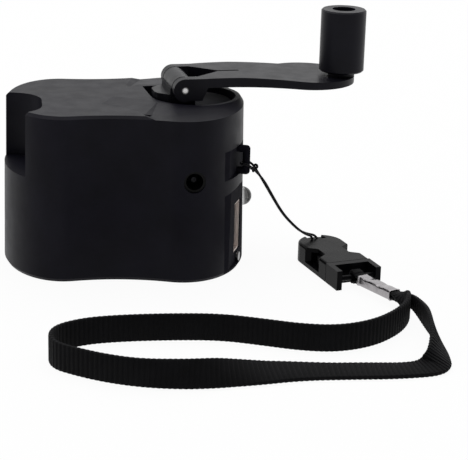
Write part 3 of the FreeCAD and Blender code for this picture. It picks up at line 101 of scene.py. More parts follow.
def smooth_line(name, points):
    """A NURBS spline with the points as its control points, and the line it draws as vectors."""
    curve = bpy.data.curves.new(name, "CURVE")
    curve.dimensions = "3D"
    curve.resolution_u = LINE_STEPS
    spline = curve.splines.new("NURBS")
    spline.points.add(len(points) - 1)
    for control, point in zip(spline.points, points):
        control.co = (*point, 1)
    spline.order_u = 3
    spline.use_endpoint_u = True
    holder = bpy.data.objects.new(name, curve)
    bpy.context.collection.objects.link(holder)
    mesh = bpy.data.meshes.new_from_object(holder)
    line = [vertex.co.copy() for vertex in mesh.vertices]
    bpy.data.objects.remove(holder)
    bpy.data.meshes.remove(mesh)
    return line


def walked(line):
    """The length from the start of a line to each of its points."""
    lengths = [0.0]
    for a, b in zip(line, line[1:]):
        lengths.append(lengths[-1] + (b - a).length)
    return lengths


def at_length(line, lengths, wanted):
    """The point and direction of a line at a given length from its start."""
    k = 1
    while k < len(line) - 1 and lengths[k] < wanted:
        k += 1
    part = (wanted - lengths[k - 1]) / max(lengths[k] - lengths[k - 1], 1e-9)
    point = line[k - 1].lerp(line[k], min(max(part, 0), 1))
    before, after = line[max(k - 2, 0)], line[min(k + 1, len(line) - 1)]
    return point, (after - before).normalized()


print("lines are drawn in", LINE_STEPS, "steps from one point to the next")


# %% [markdown]
# ## From vertices to an object
# Each piece made here starts as a bmesh, a mesh that is easy to build ring by ring. Two helpers finish
# it: one turns the bmesh into a mesh with its faces outward, and one makes an object of the mesh, at
# the origin, and hangs it on the empty of the body that carries it.

# %% Meshes and objects
def mesh_of(name, shape):
    """A bmesh as a mesh whose faces point outward."""
    bmesh.ops.recalc_face_normals(shape, faces=shape.faces)
    mesh = bpy.data.meshes.new(name)
    shape.to_mesh(mesh)
    shape.free()
    return mesh


def object_from(name, mesh, body):
    """A mesh as an object that rides on a body, at the origin."""
    made = bpy.data.objects.new(name, mesh)
    bpy.context.collection.objects.link(made)
    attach(made, body)
    return made


# %% [markdown]
# ## Where the buckle and the clamp point
# The buckle lies on the floor and points away from the case, and the clamp lies almost in line with it.
# The cord and the webbing both meet them, so their directions are worked out once, and the routes
# start from them.

# %% Buckle and clamp directions
BUCKLE_ANGLE = math.radians(-76.1)
CLAMP_ANGLE = math.radians(-63.5)
NOSE = Vector((51.5, -9.0, 0)) * MM
buckle_way = Vector((math.cos(BUCKLE_ANGLE), math.sin(BUCKLE_ANGLE), 0))
buckle_side = Vector((-math.sin(BUCKLE_ANGLE), math.cos(BUCKLE_ANGLE), 0))
clamp_way = Vector((math.cos(CLAMP_ANGLE), math.sin(CLAMP_ANGLE), 0))
clamp_side = Vector((-math.sin(CLAMP_ANGLE), math.cos(CLAMP_ANGLE), 0))
clamp_start = NOSE + (buckle_way * 22.6 + buckle_side * 0.2) * MM
bar_middle = NOSE + buckle_way * 20.9 * MM
print("clip bar at", [round(x / MM, 1) for x in bar_middle])


# %% [markdown]
# ## Route of the thin cord
# One length of cord is doubled. It starts in the slot of the buckle's nose, climbs to the eye on the
# case's bevelled corner, turns round the eye's bar and comes back down beside itself. Both strands
# share one list of places, and each keeps half the gap to its own side, so they never cross.

# %% Route of the thin cord
CORD_DIAMETER = 0.6 * MM
CORNER_ANGLE = math.radians(-22)
corner_out = Vector((math.cos(CORNER_ANGLE), math.sin(CORNER_ANGLE), 0))
corner_along = UP.cross(corner_out)
EYE = Vector((30.805, -11.367, 27.0)) * MM
EYE_WRAP = 1.35 * MM
SLOT_DEPTH = 3.1
SLOT_GAP = 0.85
SLOT_START = 1.5
SLOT_LEAVE = 5.45
strand_side = Vector((-0.31, 0.951, 0)).normalized()
STRAND_RUN = [
    ((34.9, -11.6, 23.2), 0.6),
    ((37.7, -11.0, 18.3), 0.36),
    ((40.8, -10.2, 13.1), 0.36),
    ((44.6, -8.9, 8.9), 0.5),
    ((47.2, -7.9, 6.8), 0.7),
]


def strand(sign):
    """One strand from the buckle's slot up to the eye, +1 for the one at the back."""
    foot = NOSE - buckle_way * SLOT_DEPTH * MM + buckle_side * (SLOT_GAP * sign * MM)
    points = [foot + UP * SLOT_START * MM, foot + UP * SLOT_LEAVE * MM]
    points += [Vector(p) * MM + strand_side * (sign * half * MM) for p, half in reversed(STRAND_RUN)]
    return points + [EYE + corner_out * MM + corner_along * (EYE_WRAP * sign) + UP * 0.2 * MM]


behind_bar = [EYE + (corner_along * sign - corner_out) * EYE_WRAP for sign in (1, -1)]
cord_route = strand(1) + behind_bar + strand(-1)[::-1]
cord_line = smooth_line("cord_route", cord_route)
cord_lengths = walked(cord_line)
print("cord", round(cord_lengths[-1] / MM, 1), "mm long")


# %% [markdown]
# ## Route of the webbing
# The webbing is one ring. It wraps the clip's bar, lies flat in two layers inside the bright clamp,
# then turns upright and wanders round a loop in front of the case. The route is that of its middle:
# half its width above the floor where it stands on its edge, and just over half its thickness above or
# below the clamp's middle where it lies double.

# %% Route of the webbing
STRAP_WIDTH = 6.5 * MM
STRAP_THICKNESS = 1.1 * MM
FLAT_HEIGHT = 2.6
UPRIGHT_HEIGHT = 3.25
STRAP_LIFT = 0.5
LAYER = 0.6
BAR_WRAP = 1.3
PAIR = [(63.14, -43.0), (64.4, -46.7), (65.1, -50.3)]
LOOP = [
    (62.6, -56.2), (58.4, -62.2), (51.8, -67.8), (43.5, -70.4), (35.5, -69.0), (27.0, -65.2), (18.2, -61.6),
    (7.5, -60.6), (-4.0, -60.6), (-13.0, -61.8), (-20.0, -66.2), (-20.6, -74.2), (-14.6, -79.4),
    (-7.6, -83.8), (1.4, -87.2), (11.6, -88.9), (22.0, -88.0), (32.5, -86.1), (43.0, -86.3),
    (54.0, -86.9), (65.9, -85.6), (67.6, -75.0), (67.3, -65.5), (66.6, -57.0),
]


def in_clamp(along, height):
    return clamp_start + clamp_way * (along * MM) + UP * (height * MM)


def at_bar(along, height):
    return bar_middle + buckle_way * (along * MM) + UP * (height * MM)


def pair_point(k, sign):
    """Where the two layers turn from lying flat to standing side by side."""
    turned = math.radians(45 * k)
    height = FLAT_HEIGHT + (UPRIGHT_HEIGHT + STRAP_LIFT - FLAT_HEIGHT) * k / 2
    offset = UP * math.cos(turned) - clamp_side * math.sin(turned)
    return Vector((*PAIR[k], height)) * MM + offset * (LAYER * sign * MM)


strap_route = [
    in_clamp(3.0, FLAT_HEIGHT - LAYER),
    in_clamp(0, FLAT_HEIGHT - LAYER - 0.02),
    at_bar(0.4, FLAT_HEIGHT - BAR_WRAP),
    at_bar(-BAR_WRAP, FLAT_HEIGHT - BAR_WRAP),
    at_bar(-BAR_WRAP, FLAT_HEIGHT + BAR_WRAP),
    at_bar(0.4, FLAT_HEIGHT + BAR_WRAP),
    in_clamp(0, FLAT_HEIGHT + LAYER + 0.02),
    in_clamp(3.0, FLAT_HEIGHT + LAYER),
    in_clamp(8.0, FLAT_HEIGHT + LAYER - 0.02),
]
strap_route += [pair_point(k, 1) for k in (0, 1, 2)]
strap_route += [Vector((x, y, UPRIGHT_HEIGHT)) * MM for x, y in LOOP]
strap_route += [pair_point(k, -1) for k in (2, 1, 0)]
strap_route += [in_clamp(8.0, FLAT_HEIGHT - LAYER + 0.02), in_clamp(3.4, FLAT_HEIGHT - LAYER)]
strap_line = smooth_line("strap_route", strap_route)
strap_lengths = walked(strap_line)
print("webbing", round(strap_lengths[-1] / MM, 1), "mm long")


# %% [markdown]
# ## Thin cord
# The cord is braided nylon, under a millimetre thick. A curve with a round bevel would give its shape,
# but the weave has to follow the cord, so a tube is built ring by ring with a map of its own: one
# direction runs along it and the other once round it.

# %% Tube along a line
def tube_along(name, line, radius, sides):
    """A closed tube with a map: U in metres along it, V once round it."""
    lengths = walked(line)
    shape = bmesh.new()
    mapping = shape.loops.layers.uv.new("along")
    side = (line[1] - line[0]).orthogonal().normalized()
    rings = []
    for k, point in enumerate(line):
        way = (line[min(k + 1, len(line) - 1)] - line[max(k - 1, 0)]).normalized()
        side = (side - way * side.dot(way)).normalized()
        other = way.cross(side)
        rings.append([shape.verts.new(point + (side * math.cos(a) + other * math.sin(a)) * radius)
                      for a in (2 * math.pi * j / sides for j in range(sides))])
    for k, (low, high) in enumerate(zip(rings, rings[1:])):
        for j in range(sides):
            corner = (j + 1) % sides
            face = shape.faces.new((low[j], low[corner], high[corner], high[j]))
            face.smooth = True
            spots = ((k, j), (k, j + 1), (k + 1, j + 1), (k + 1, j))
            for loop, (row, around) in zip(face.loops, spots):
                loop[mapping].uv = (lengths[row], around / sides)
    shape.faces.new(rings[0][::-1])
    shape.faces.new(rings[-1])
    return mesh_of(name, shape)


cord = object_from("cord_braid", tube_along("cord_braid", cord_line, CORD_DIAMETER / 2, 14), "case")
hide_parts("lanyard_cord")
print("cord", len(cord.data.polygons), "faces")


# %% [markdown]
# ## Knot under the eye
# Just below the eye the two strands are tied together. A trefoil is the plainest closed knot and looks
# like the small overhand knot of the real cord. It is a formula, so the same tube can follow it.

# %% Knot under the eye
KNOT_PLACE = Vector((32.8, -11.5, 25.8)) * MM
KNOT_SIZE = 0.33 * MM
KNOT_STEPS = 90


def knot_line():
    """A trefoil, pulled tight round both strands, with its axis along them."""
    down = (Vector(STRAND_RUN[0][0]) * MM - EYE).normalized()
    side = down.cross(UP).normalized()
    other = down.cross(side)
    line = []
    for k in range(KNOT_STEPS + 1):
        t = 2 * math.pi * k / KNOT_STEPS
        a, b, c = math.sin(t) + 2 * math.sin(2 * t), math.cos(t) - 2 * math.cos(2 * t), -math.sin(3 * t)
        line.append(KNOT_PLACE + (side * a + other * b + down * c) * KNOT_SIZE)
    return line


knot = object_from("cord_knot", tube_along("cord_knot", knot_line(), CORD_DIAMETER / 2, 10), "case")
print("knot", len(knot.data.polygons), "faces")


# %% [markdown]
# ## How the webbing turns, leans and gathers
# A ribbon needs more than a line: at every point it also needs to know which way it faces. This one
# lies flat in the clamp, turns upright as it leaves, stands on its edge round most of the loop and
# falls over towards the inside at the front right. In the clamp it is folded small. Three short
# functions of the length along the line say so, and everything on the webbing asks them.

# %% Lean
# Where the webbing falls over: a place on the loop, and its lean towards the inside in degrees.
LEANS = [
    ((-2.0, -86.0), 0), ((10.0, -88.6), 19), ((16.0, -88.5), 41), ((23.0, -87.8), 62), ((30.0, -86.6), 75),
    ((38.0, -86.2), 84), ((51.0, -86.7), 85), ((58.0, -86.5), 88), ((62.0, -85.7), 84), ((65.6, -82.5), 60),
    ((67.2, -76.0), 38), ((67.3, -65.5), 16), ((66.6, -57.0), 0),
]
LEAN_EASE = 1.7 * MM


def nearest_length(line, lengths, place, low_share, high_share):
    """How far along the line it passes closest to a place, looking only between two shares of it."""
    total = lengths[-1]
    inside = [k for k, l in enumerate(lengths) if low_share * total <= l <= high_share * total]
    return lengths[min(inside, key=lambda k: (line[k] - place).length)]


lean_marks = [(nearest_length(strap_line, strap_lengths, Vector((*place, UPRIGHT_HEIGHT)) * MM, 0.4, 1),
               math.radians(lean)) for place, lean in LEANS]


def lean_between_marks(length):
    """The lean at a length, straight from one mark to the next."""
    for (start, low), (end, high) in zip(lean_marks, lean_marks[1:]):
        if start <= length <= end:
            return low + (high - low) * (length - start) / (end - start)
    return 0.0


def lean_at(length):
    """How far the webbing leans, averaged over a short stretch so that it turns evenly."""
    return sum(lean_between_marks(length + k * LEAN_EASE) for k in range(-2, 3)) / 5


print("webbing leans for", round((lean_marks[-1][0] - lean_marks[0][0]) / MM, 1), "mm")

# %% Turn and gather
AFTER_BAR = 0.5 * MM
upper_start = nearest_length(strap_line, strap_lengths, pair_point(0, 1), 0, 0.5)
upper_end = nearest_length(strap_line, strap_lengths, pair_point(2, 1), 0, 0.5)
lower_start = nearest_length(strap_line, strap_lengths, pair_point(0, -1), 0.5, 1)
lower_end = nearest_length(strap_line, strap_lengths, pair_point(2, -1), 0.5, 1)
bar_end = nearest_length(strap_line, strap_lengths, in_clamp(0, FLAT_HEIGHT + LAYER), 0, 0.5) + AFTER_BAR

GATHERED_WIDTH = 0.42
GATHERED_THICKNESS = 0.7
UPPER_SPREAD = 12.0 * MM
LOWER_SPREAD = 24.0 * MM


def eased(share):
    """A share kept between 0 and 1, with a soft start and end."""
    share = min(max(share, 0), 1)
    return share * share * (3 - 2 * share)


def gathered_at(length):
    """The webbing's width and thickness, as shares of its full ones."""
    if length < strap_lengths[-1] / 2:
        spread = eased((length - upper_start) / UPPER_SPREAD)
    else:
        spread = eased((lower_start - length) / LOWER_SPREAD)
    return tuple(least + (1 - least) * spread for least in (GATHERED_WIDTH, GATHERED_THICKNESS))


def strap_frame(length):
    """Point, direction, direction across the webbing and direction out of its face."""
    point, way = at_length(strap_line, strap_lengths, length)
    if length < strap_lengths[-1] / 2:
        share = (length - upper_start) / (upper_end - upper_start)
    else:
        share = (lower_start - length) / (lower_start - lower_end)
    turned = eased(share) * math.pi / 2
    flat = buckle_side if length < bar_end else clamp_side
    across = flat * math.cos(turned) + UP * math.sin(turned)
    across = (across - way * across.dot(way)).normalized()
    lean = lean_at(length)
    if lean:
        lifted = max(point.z - STRAP_WIDTH / 2, 0)
        foot = Vector((point.x, point.y, STRAP_THICKNESS / 2 * math.sin(lean) + lifted))
        way = (way - UP * way.z).normalized()
        across = UP * math.cos(lean) + UP.cross(way) * math.sin(lean)
        point = foot + across * (STRAP_WIDTH / 2)
    return point, way, across, across.cross(way)


print("upright after", round((upper_end - upper_start) / MM, 1), "mm")


# %% [markdown]
# ## Core of the webbing
# Narrow webbing has a smooth core of warp threads under its ribs. A flat section with rounded edges is
# swept along the line and placed by the frame at each step, so the core turns, leans and gathers with
# it. Its map runs along it, like the cord's.

# %% Core of the webbing
STRAP_STEP = 0.55 * MM
CORE_THICKNESS = 0.92 * MM
CORE_CORNER = 0.28 * MM
CORE_INSET = 0.12 * MM


def flat_section(width, thickness, corner, steps=2):
    """The outline of a flat section with rounded edges, as (across, out) pairs."""
    outline = []
    for across, out, start in ((1, 1, 0), (-1, 1, 90), (-1, -1, 180), (1, -1, 270)):
        for k in range(steps + 1):
            a = math.radians(start + 90 * k / steps)
            outline.append((across * (width / 2 - corner) + math.cos(a) * corner,
                            out * (thickness / 2 - corner) + math.sin(a) * corner))
    return outline


def ribbon_along(name, section, step):
    """A closed ribbon: U of its map is metres along it, V metres round its section."""
    total = strap_lengths[-1]
    count = round(total / step)
    shape = bmesh.new()
    mapping = shape.loops.layers.uv.new("along")
    round_it = [0.0]
    for (a, b), (c, d) in zip(section, section[1:] + section[:1]):
        round_it.append(round_it[-1] + math.hypot(c - a, d - b))
    rings = []
    for k in range(count + 1):
        point, way, across, out = strap_frame(total * k / count)
        wide, thick = gathered_at(total * k / count)
        rings.append([shape.verts.new(point + across * (a * wide) + out * (b * thick)) for a, b in section])
    sides = len(section)
    for k, (low, high) in enumerate(zip(rings, rings[1:])):
        for j in range(sides):
            corner = (j + 1) % sides
            face = shape.faces.new((low[j], high[j], high[corner], low[corner]))
            face.smooth = True
            spots = ((k, j), (k + 1, j), (k + 1, j + 1), (k, j + 1))
            for loop, (row, around) in zip(face.loops, spots):
                loop[mapping].uv = (total * row / count, round_it[around])
    shape.faces.new(rings[0])
    shape.faces.new(rings[-1][::-1])
    return mesh_of(name, shape)


core_section = flat_section(STRAP_WIDTH - CORE_INSET, CORE_THICKNESS, CORE_CORNER)
strap = object_from("webbing_core", ribbon_along("webbing_core", core_section, STRAP_STEP), "strap")
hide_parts("wrist_strap")
print("webbing core", len(strap.data.polygons), "faces")


# %% [markdown]
# ## One rib, and a tree that repeats it
# Each weft thread shows as a rib across the webbing. One small band is modelled, with a rounded crest,
# and Geometry Nodes copies it. The points that carry the copies hold two attributes: how the rib faces,
# and how far it is stretched where the webbing is gathered. The tree ends by making the copies real
# and giving them their finish, because an export drops instances.

# %% Rib
RIB_PITCH = 1.15 * MM
RIB_HALF = 0.42 * MM
RIB_CREST = 0.2 * MM
RIB_SHOULDER = 0.75
RIB_INSET = 0.2 * MM
RIB_SINK = 0.06 * MM
RIB_SOFTER = 0.1 * MM


def rib_mesh():
    """One band round the webbing's section, with a rounded crest and closed ends."""
    low = flat_section(STRAP_WIDTH - RIB_INSET, CORE_THICKNESS - RIB_SINK, CORE_CORNER)
    crest = flat_section(STRAP_WIDTH, STRAP_THICKNESS, CORE_CORNER + RIB_SOFTER)
    middle = [((a + c) / 2 * 1.01, b * 0.3 + d * 0.7) for (a, b), (c, d) in zip(low, crest)]
    shape = bmesh.new()
    rings = []
    shoulder = RIB_HALF * RIB_SHOULDER
    for x, outline in ((-RIB_HALF, low), (-shoulder, middle), (-RIB_CREST, crest), (RIB_CREST, crest),
                       (shoulder, middle), (RIB_HALF, low)):
        rings.append([shape.verts.new((x, a, b)) for a, b in outline])
    for first, second in zip(rings, rings[1:]):
        for j in range(len(first)):
            corner = (j + 1) % len(first)
            shape.faces.new((first[j], second[j], second[corner], first[corner])).smooth = True
    shape.faces.new(rings[0])
    shape.faces.new(rings[-1][::-1])
    return mesh_of("webbing_rib", shape)


rib = rib_mesh()
print("rib", len(rib.polygons), "faces")

# %% Tree that repeats a piece
def repeat_tree(name):
    """Puts a copy of one object on every point, turned and stretched by the point's own attributes."""
    tree = bpy.data.node_groups.new(name, "GeometryNodeTree")
    sockets = tree.interface
    sockets.new_socket("Geometry", in_out="INPUT", socket_type="NodeSocketGeometry")
    sockets.new_socket("Piece", in_out="INPUT", socket_type="NodeSocketObject")
    sockets.new_socket("Size", in_out="INPUT", socket_type="NodeSocketFloat").default_value = 1.0
    sockets.new_socket("Finish", in_out="INPUT", socket_type="NodeSocketMaterial")
    sockets.new_socket("Geometry", in_out="OUTPUT", socket_type="NodeSocketGeometry")
    start = tree.nodes.new("NodeGroupInput")
    piece = tree.nodes.new("GeometryNodeObjectInfo")
    facing, stretch = (tree.nodes.new("GeometryNodeInputNamedAttribute") for _ in range(2))
    for attribute, label in ((facing, "facing"), (stretch, "stretch")):
        attribute.data_type = "FLOAT_VECTOR"
        attribute.inputs["Name"].default_value = label
    scale = tree.nodes.new("ShaderNodeVectorMath")
    scale.operation = "SCALE"
    put = tree.nodes.new("GeometryNodeInstanceOnPoints")
    real = tree.nodes.new("GeometryNodeRealizeInstances")
    coat = tree.nodes.new("GeometryNodeSetMaterial")
    end = tree.nodes.new("NodeGroupOutput")
    join = tree.links.new
    join(start.outputs["Geometry"], put.inputs["Points"])
    join(start.outputs["Piece"], piece.inputs["Object"])
    join(piece.outputs["Geometry"], put.inputs["Instance"])
    join(facing.outputs["Attribute"], put.inputs["Rotation"])
    join(stretch.outputs["Attribute"], scale.inputs[0])
    join(start.outputs["Size"], scale.inputs["Scale"])
    join(scale.outputs[0], put.inputs["Scale"])
    join(put.outputs["Instances"], real.inputs["Geometry"])
    join(real.outputs["Geometry"], coat.inputs["Geometry"])
    join(start.outputs["Finish"], coat.inputs["Material"])
    join(coat.outputs["Geometry"], end.inputs["Geometry"])
    print("tree", name, "with", len(tree.nodes), "nodes")
    return tree


# %% Plain mesh from the tree
def repeated(name, piece_mesh, places, body, finish):
    """A plain mesh of copies of a piece at (point, rotation, stretch) places, made by the tree."""
    points = bpy.data.meshes.new(name + "_points")
    points.from_pydata([place[0] for place in places], [], [])
    for k, attribute in ((1, "facing"), (2, "stretch")):
        values = points.attributes.new(attribute, "FLOAT_VECTOR", "POINT")
        values.data.foreach_set("vector", [number for place in places for number in place[k]])
    carrier = bpy.data.objects.new(name + "_points", points)
    piece = bpy.data.objects.new(name + "_piece", piece_mesh)
    bpy.context.collection.objects.link(carrier)
    bpy.context.collection.objects.link(piece)
    tree = repeat_tree(name)
    nodes = carrier.modifiers.new(name, "NODES")
    nodes.node_group = tree
    for item in tree.interface.items_tree:
        if item.in_out == "INPUT" and item.name in ("Piece", "Size", "Finish"):
            nodes[item.identifier] = {"Piece": piece, "Size": 1.0, "Finish": finish}[item.name]
    bpy.context.view_layer.update()
    mesh = bpy.data.meshes.new_from_object(carrier.evaluated_get(bpy.context.evaluated_depsgraph_get()))
    mesh.name = name
    bpy.data.objects.remove(carrier)
    bpy.data.objects.remove(piece)
    print(name, "repeated at", len(places), "places")
    return object_from(name, mesh, body)


# %% [markdown]
# ## Clamp
# The clamp is a strip of bright sheet, folded round both layers of the gathered webbing and squeezed
# with a crimping tool. A solid block would show no wall at its ends, so it is swept as a hollow
# section. Its top sinks at two crimp marks, and its ends flare a little.

# %% Clamp
CLAMP_LENGTH = 12.3 * MM
CLAMP_HALF = 1.6 * MM
CLAMP_HIGH = 1.2 * MM
CLAMP_WALL = 0.22 * MM
CLAMP_CORNER = 0.5 * MM
CLAMP_INSET = 0.8 * MM
CLAMP_RINGS = 48
CLAMP_FLARE = 0.1 * MM
CRIMP_DEPTH = 0.16 * MM
CRIMP_SPREAD = 0.9 * MM
CRIMP_MARKS = (3.6 * MM, 8.8 * MM)


def crimped(along):
    """How far the sheet is pressed in: two soft marks along the clamp."""
    return sum(math.exp(-((along - mark) / CRIMP_SPREAD) ** 2) for mark in CRIMP_MARKS) * CRIMP_DEPTH


def clamp_mesh():
    """A hollow section with rounded corners, from just inside the clip to the webbing's free part."""
    sections = [flat_section(2 * (CLAMP_HALF - wall), 2 * (CLAMP_HIGH - wall), CLAMP_CORNER - wall, 4)
                for wall in (0, CLAMP_WALL)]
    shape = bmesh.new()
    rings = []
    for k in range(CLAMP_RINGS + 1):
        along = CLAMP_INSET + CLAMP_LENGTH * k / CLAMP_RINGS
        middle = clamp_start + clamp_way * along + UP * (FLAT_HEIGHT * MM)
        flare = CLAMP_FLARE * max(0, 1 - min(k, CLAMP_RINGS - k) / 3)
        both = []
        for section in sections:
            ring = []
            for across, out in section:
                across += math.copysign(flare, across)
                height = out + math.copysign(flare, out) - (crimped(along) if out > 0 else 0)
                ring.append(shape.verts.new(middle + clamp_side * across + UP * height))
            both.append(ring)
        rings.append(both)
    sides = len(sections[0])
    for (low_out, low_in), (high_out, high_in) in zip(rings, rings[1:]):
        for j in range(sides):
            n = (j + 1) % sides
            shape.faces.new((low_out[j], high_out[j], high_out[n], low_out[n])).smooth = True
            shape.faces.new((low_in[j], low_in[n], high_in[n], high_in[j])).smooth = True
    for outer_ring, inner_ring in (rings[0], rings[-1]):
        for j in range(sides):
            n = (j + 1) % sides
            shape.faces.new((outer_ring[j], outer_ring[n], inner_ring[n], inner_ring[j]))
    return mesh_of("clamp_sheet", shape)


clamp = object_from("clamp_sheet", clamp_mesh(), "strap")
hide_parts("strap_clamp")
print("clamp", len(clamp.data.polygons), "faces")


# %% [markdown]
# ## Painted shade at the hinge
# A thin black ring sits where each ear of the arm meets the hub's barrel. It is painted shade: a fine
# dark line round the hinge where there is only a shadowed gap. Each one is a flat ring of four loops.
# Blender's own rings stand along Z and would have to be turned, so the loops are placed straight round the
# pin's axis.

# %% Painted shade rings at the hinge
HINGE = Vector((14.594, -0.324, 45.2)) * MM
PIN_WAY = Vector((math.sin(math.radians(5)), -math.cos(math.radians(5)), 0))
GAP_SHADE_OUTER = 2.96 * MM
GAP_SHADE_INNER = 2.3 * MM
GAP_SHADE_HALF = 0.16 * MM
GAP_SHADE_REACH = 5.775 * MM
GAP_SHADE_STEPS = 64


def painted_gap_shade_mesh():
    """Both rings of painted shade: inner and outer loops on two sides, closed into a ring."""
    shape = bmesh.new()
    side = PIN_WAY.cross(UP)
    corners = ((-1, GAP_SHADE_INNER), (-1, GAP_SHADE_OUTER), (1, GAP_SHADE_OUTER), (1, GAP_SHADE_INNER))
    for end in (-1, 1):
        loops = []
        for reach, radius in corners:
            middle = HINGE + PIN_WAY * (end * GAP_SHADE_REACH + reach * GAP_SHADE_HALF)
            loops.append([shape.verts.new(middle + (side * math.cos(a) + UP * math.sin(a)) * radius)
                          for a in (2 * math.pi * k / GAP_SHADE_STEPS for k in range(GAP_SHADE_STEPS))])
        for first, second in zip(loops, loops[1:] + loops[:1]):
            for j in range(GAP_SHADE_STEPS):
                n = (j + 1) % GAP_SHADE_STEPS
                shape.faces.new((first[j], first[n], second[n], second[j]))
    return mesh_of("hinge_washers", shape)


# Painted shade: dark rings stand in the shadowed gaps beside the hinge's barrel.
washers = object_from("hinge_washers", painted_gap_shade_mesh(), "turntable")
print("washers", len(washers.data.polygons), "faces")


# %% [markdown]
# ## Shader maths
# A finish is a tree of nodes, and wiring it by hand in code is long and hard to read. A small class
# wraps a node's output, so that a mask can be written as a sum. A second class has one method that adds
# any node, and a third adds the few nodes that nearly every finish here needs.

# %% Signal and board
class Signal:
    """A node's output, with arithmetic that adds Math nodes."""

    def __init__(self, board, socket):
        self.board = board
        self.socket = socket

    def maths(self, operation, first, second=0.0):
        return self.board.node("ShaderNodeMath", {"operation": operation}, {0: first, 1: second})

    def __add__(self, other):
        return self.maths("ADD", self, other)

    def __sub__(self, other):
        return self.maths("SUBTRACT", self, other)

    def __rsub__(self, other):
        return self.maths("SUBTRACT", other, self)

    def __mul__(self, other):
        return self.maths("MULTIPLY", self, other)

    __radd__ = __add__
    __rmul__ = __mul__


class Board:
    """A node tree, and one method that adds any node to it."""

    def __init__(self, tree):
        self.tree = tree

    def node(self, kind, settings=None, values=None, output=0):
        made = self.tree.nodes.new(kind)
        for setting, value in (settings or {}).items():
            setattr(made, setting, value)
        for socket, value in (values or {}).items():
            if isinstance(value, Signal):
                self.tree.links.new(value.socket, made.inputs[socket])
            else:
                made.inputs[socket].default_value = value
        return Signal(self, made.outputs[output])


trial = bpy.data.node_groups.new("trial", "ShaderNodeTree")
mask = Board(trial).node("ShaderNodeValue")
print("1 - mask * 0.5 ends in a", (1 - mask * 0.5).socket.node.operation, "node, one of", len(trial.nodes))
bpy.data.node_groups.remove(trial)

# %% Finish
class Finish(Board):
    """One procedural material. What is the same all over it is set on the shader's own sockets."""

    def __init__(self, name, **plain):
        self.material = bpy.data.materials.new(name)
        self.material.use_nodes = True
        super().__init__(self.material.node_tree)
        self.shader = self.tree.nodes["Principled BSDF"]
        for socket, value in plain.items():
            self.shader.inputs[socket.replace("_", " ")].default_value = value

    def feed(self, socket, signal):
        """Drives one of the shader's sockets."""
        self.tree.links.new(signal.socket, self.shader.inputs[socket])

    def place(self):
        """Object coordinates, in metres. Every piece sits at the origin, so they are the charger's own."""
        return self.node("ShaderNodeTexCoord", output="Object")

    def height(self):
        return self.node("ShaderNodeSeparateXYZ", None, {0: self.place()}, "Z")

    def stretched(self, scale):
        """Object coordinates scaled per axis, for grain that runs one way."""
        return self.node("ShaderNodeMapping", None, {"Vector": self.place(), "Scale": scale})

    def noise(self, where, scale, detail=3.0, rough=0.55):
        return self.node("ShaderNodeTexNoise", None,
                         {"Vector": where, "Scale": scale, "Detail": detail, "Roughness": rough}, "Fac")

    def ramp(self, signal, low, high):
        """0 below low, 1 above high."""
        return self.node("ShaderNodeMapRange", None, {"Value": signal, "From Min": low, "From Max": high})

    def blend(self, share, first, second):
        """A colour between two colours."""
        return self.node("ShaderNodeMix", {"data_type": "RGBA"},
                         {"Factor": share, 6: (*first, 1), 7: (*second, 1)}, 2)

    def bump(self, height, depth):
        """Relief from a 0 to 1 height, depth metres high."""
        self.feed("Normal", self.node("ShaderNodeBump", None, {"Height": height, "Distance": depth}))


print("a finish's helpers:", [helper for helper in vars(Finish) if not helper.startswith("_")])


# %% [markdown]
# ## Moulded plastic
# The case is ABS from a spark-eroded mould: black, very slightly uneven in tone, with a fine grain
# that scatters highlights. The crank arm and the buckle come from smoother moulds. One function makes
# them all from a grain size, a grain depth and a roughness. The index of refraction is lower than that
# of solid plastic, because a textured skin sends back less light than a polished one: the upright faces
# stay black, and only the faces seen at a low angle turn grey.

# %% Plastic
def plastic(name, colour, roughness, grain, depth, mottle=0.25, ior=1.22, dull=None):
    """Grain sets the size of the mould's texture, depth its height and mottle how uneven the colour is.
    Dull gives a mask for the faces that the mould left coarser."""
    finish = Finish(name, IOR=ior)
    fine = finish.noise(finish.place(), 1 / grain, 2.0)
    broad = finish.noise(finish.place(), 90.0, 3.0)
    lighter = tuple(min(1.0, c * (1 + mottle)) for c in colour)
    darker = tuple(c * (1 - mottle) for c in colour)
    finish.feed("Base Color", finish.blend(finish.ramp(broad, 0.3, 0.7), darker, lighter))
    rubbed = finish.ramp(finish.noise(finish.place(), 260.0, 4.0), 0.35, 0.75)
    rough = rubbed * 0.08 + fine * 0.04 + (roughness - 0.06)
    finish.feed("Roughness", rough + dull(finish) * 0.45 if dull else rough)
    finish.bump(fine, depth)
    print(name, "has a grain of", round(grain / MM, 2), "mm")
    return finish.material


# %% [markdown]
# ## Coarser faces
# A mould is not equally smooth all over. The flat on the bevelled corner, the hollow behind the eye and
# the turntable's own face are coarser and look darker. Each is picked out by where it is: a ramp across
# its edge gives 0 on one side and 1 on the other, and the product of the ramps is the mask.

# %% Masks for the coarser faces
SOFT_EDGE = 0.06 * MM
PANEL_MIDDLE = 0.1 * MM
PANEL_HALF = 9.0 * MM
PANEL_PEAK = 21.8 * MM
PANEL_SLOPE = 1 / 9
HOLLOW_FOOT = 24.6 * MM
HOLLOW_HEAD = 32.1 * MM
CORNER_START = 26.0 * MM
TURNTABLE_TOP = 40.65 * MM


def below(finish, signal, limit):
    """1 below a limit, 0 above it, with a soft edge."""
    return 1 - finish.ramp(signal, limit - SOFT_EDGE, limit)


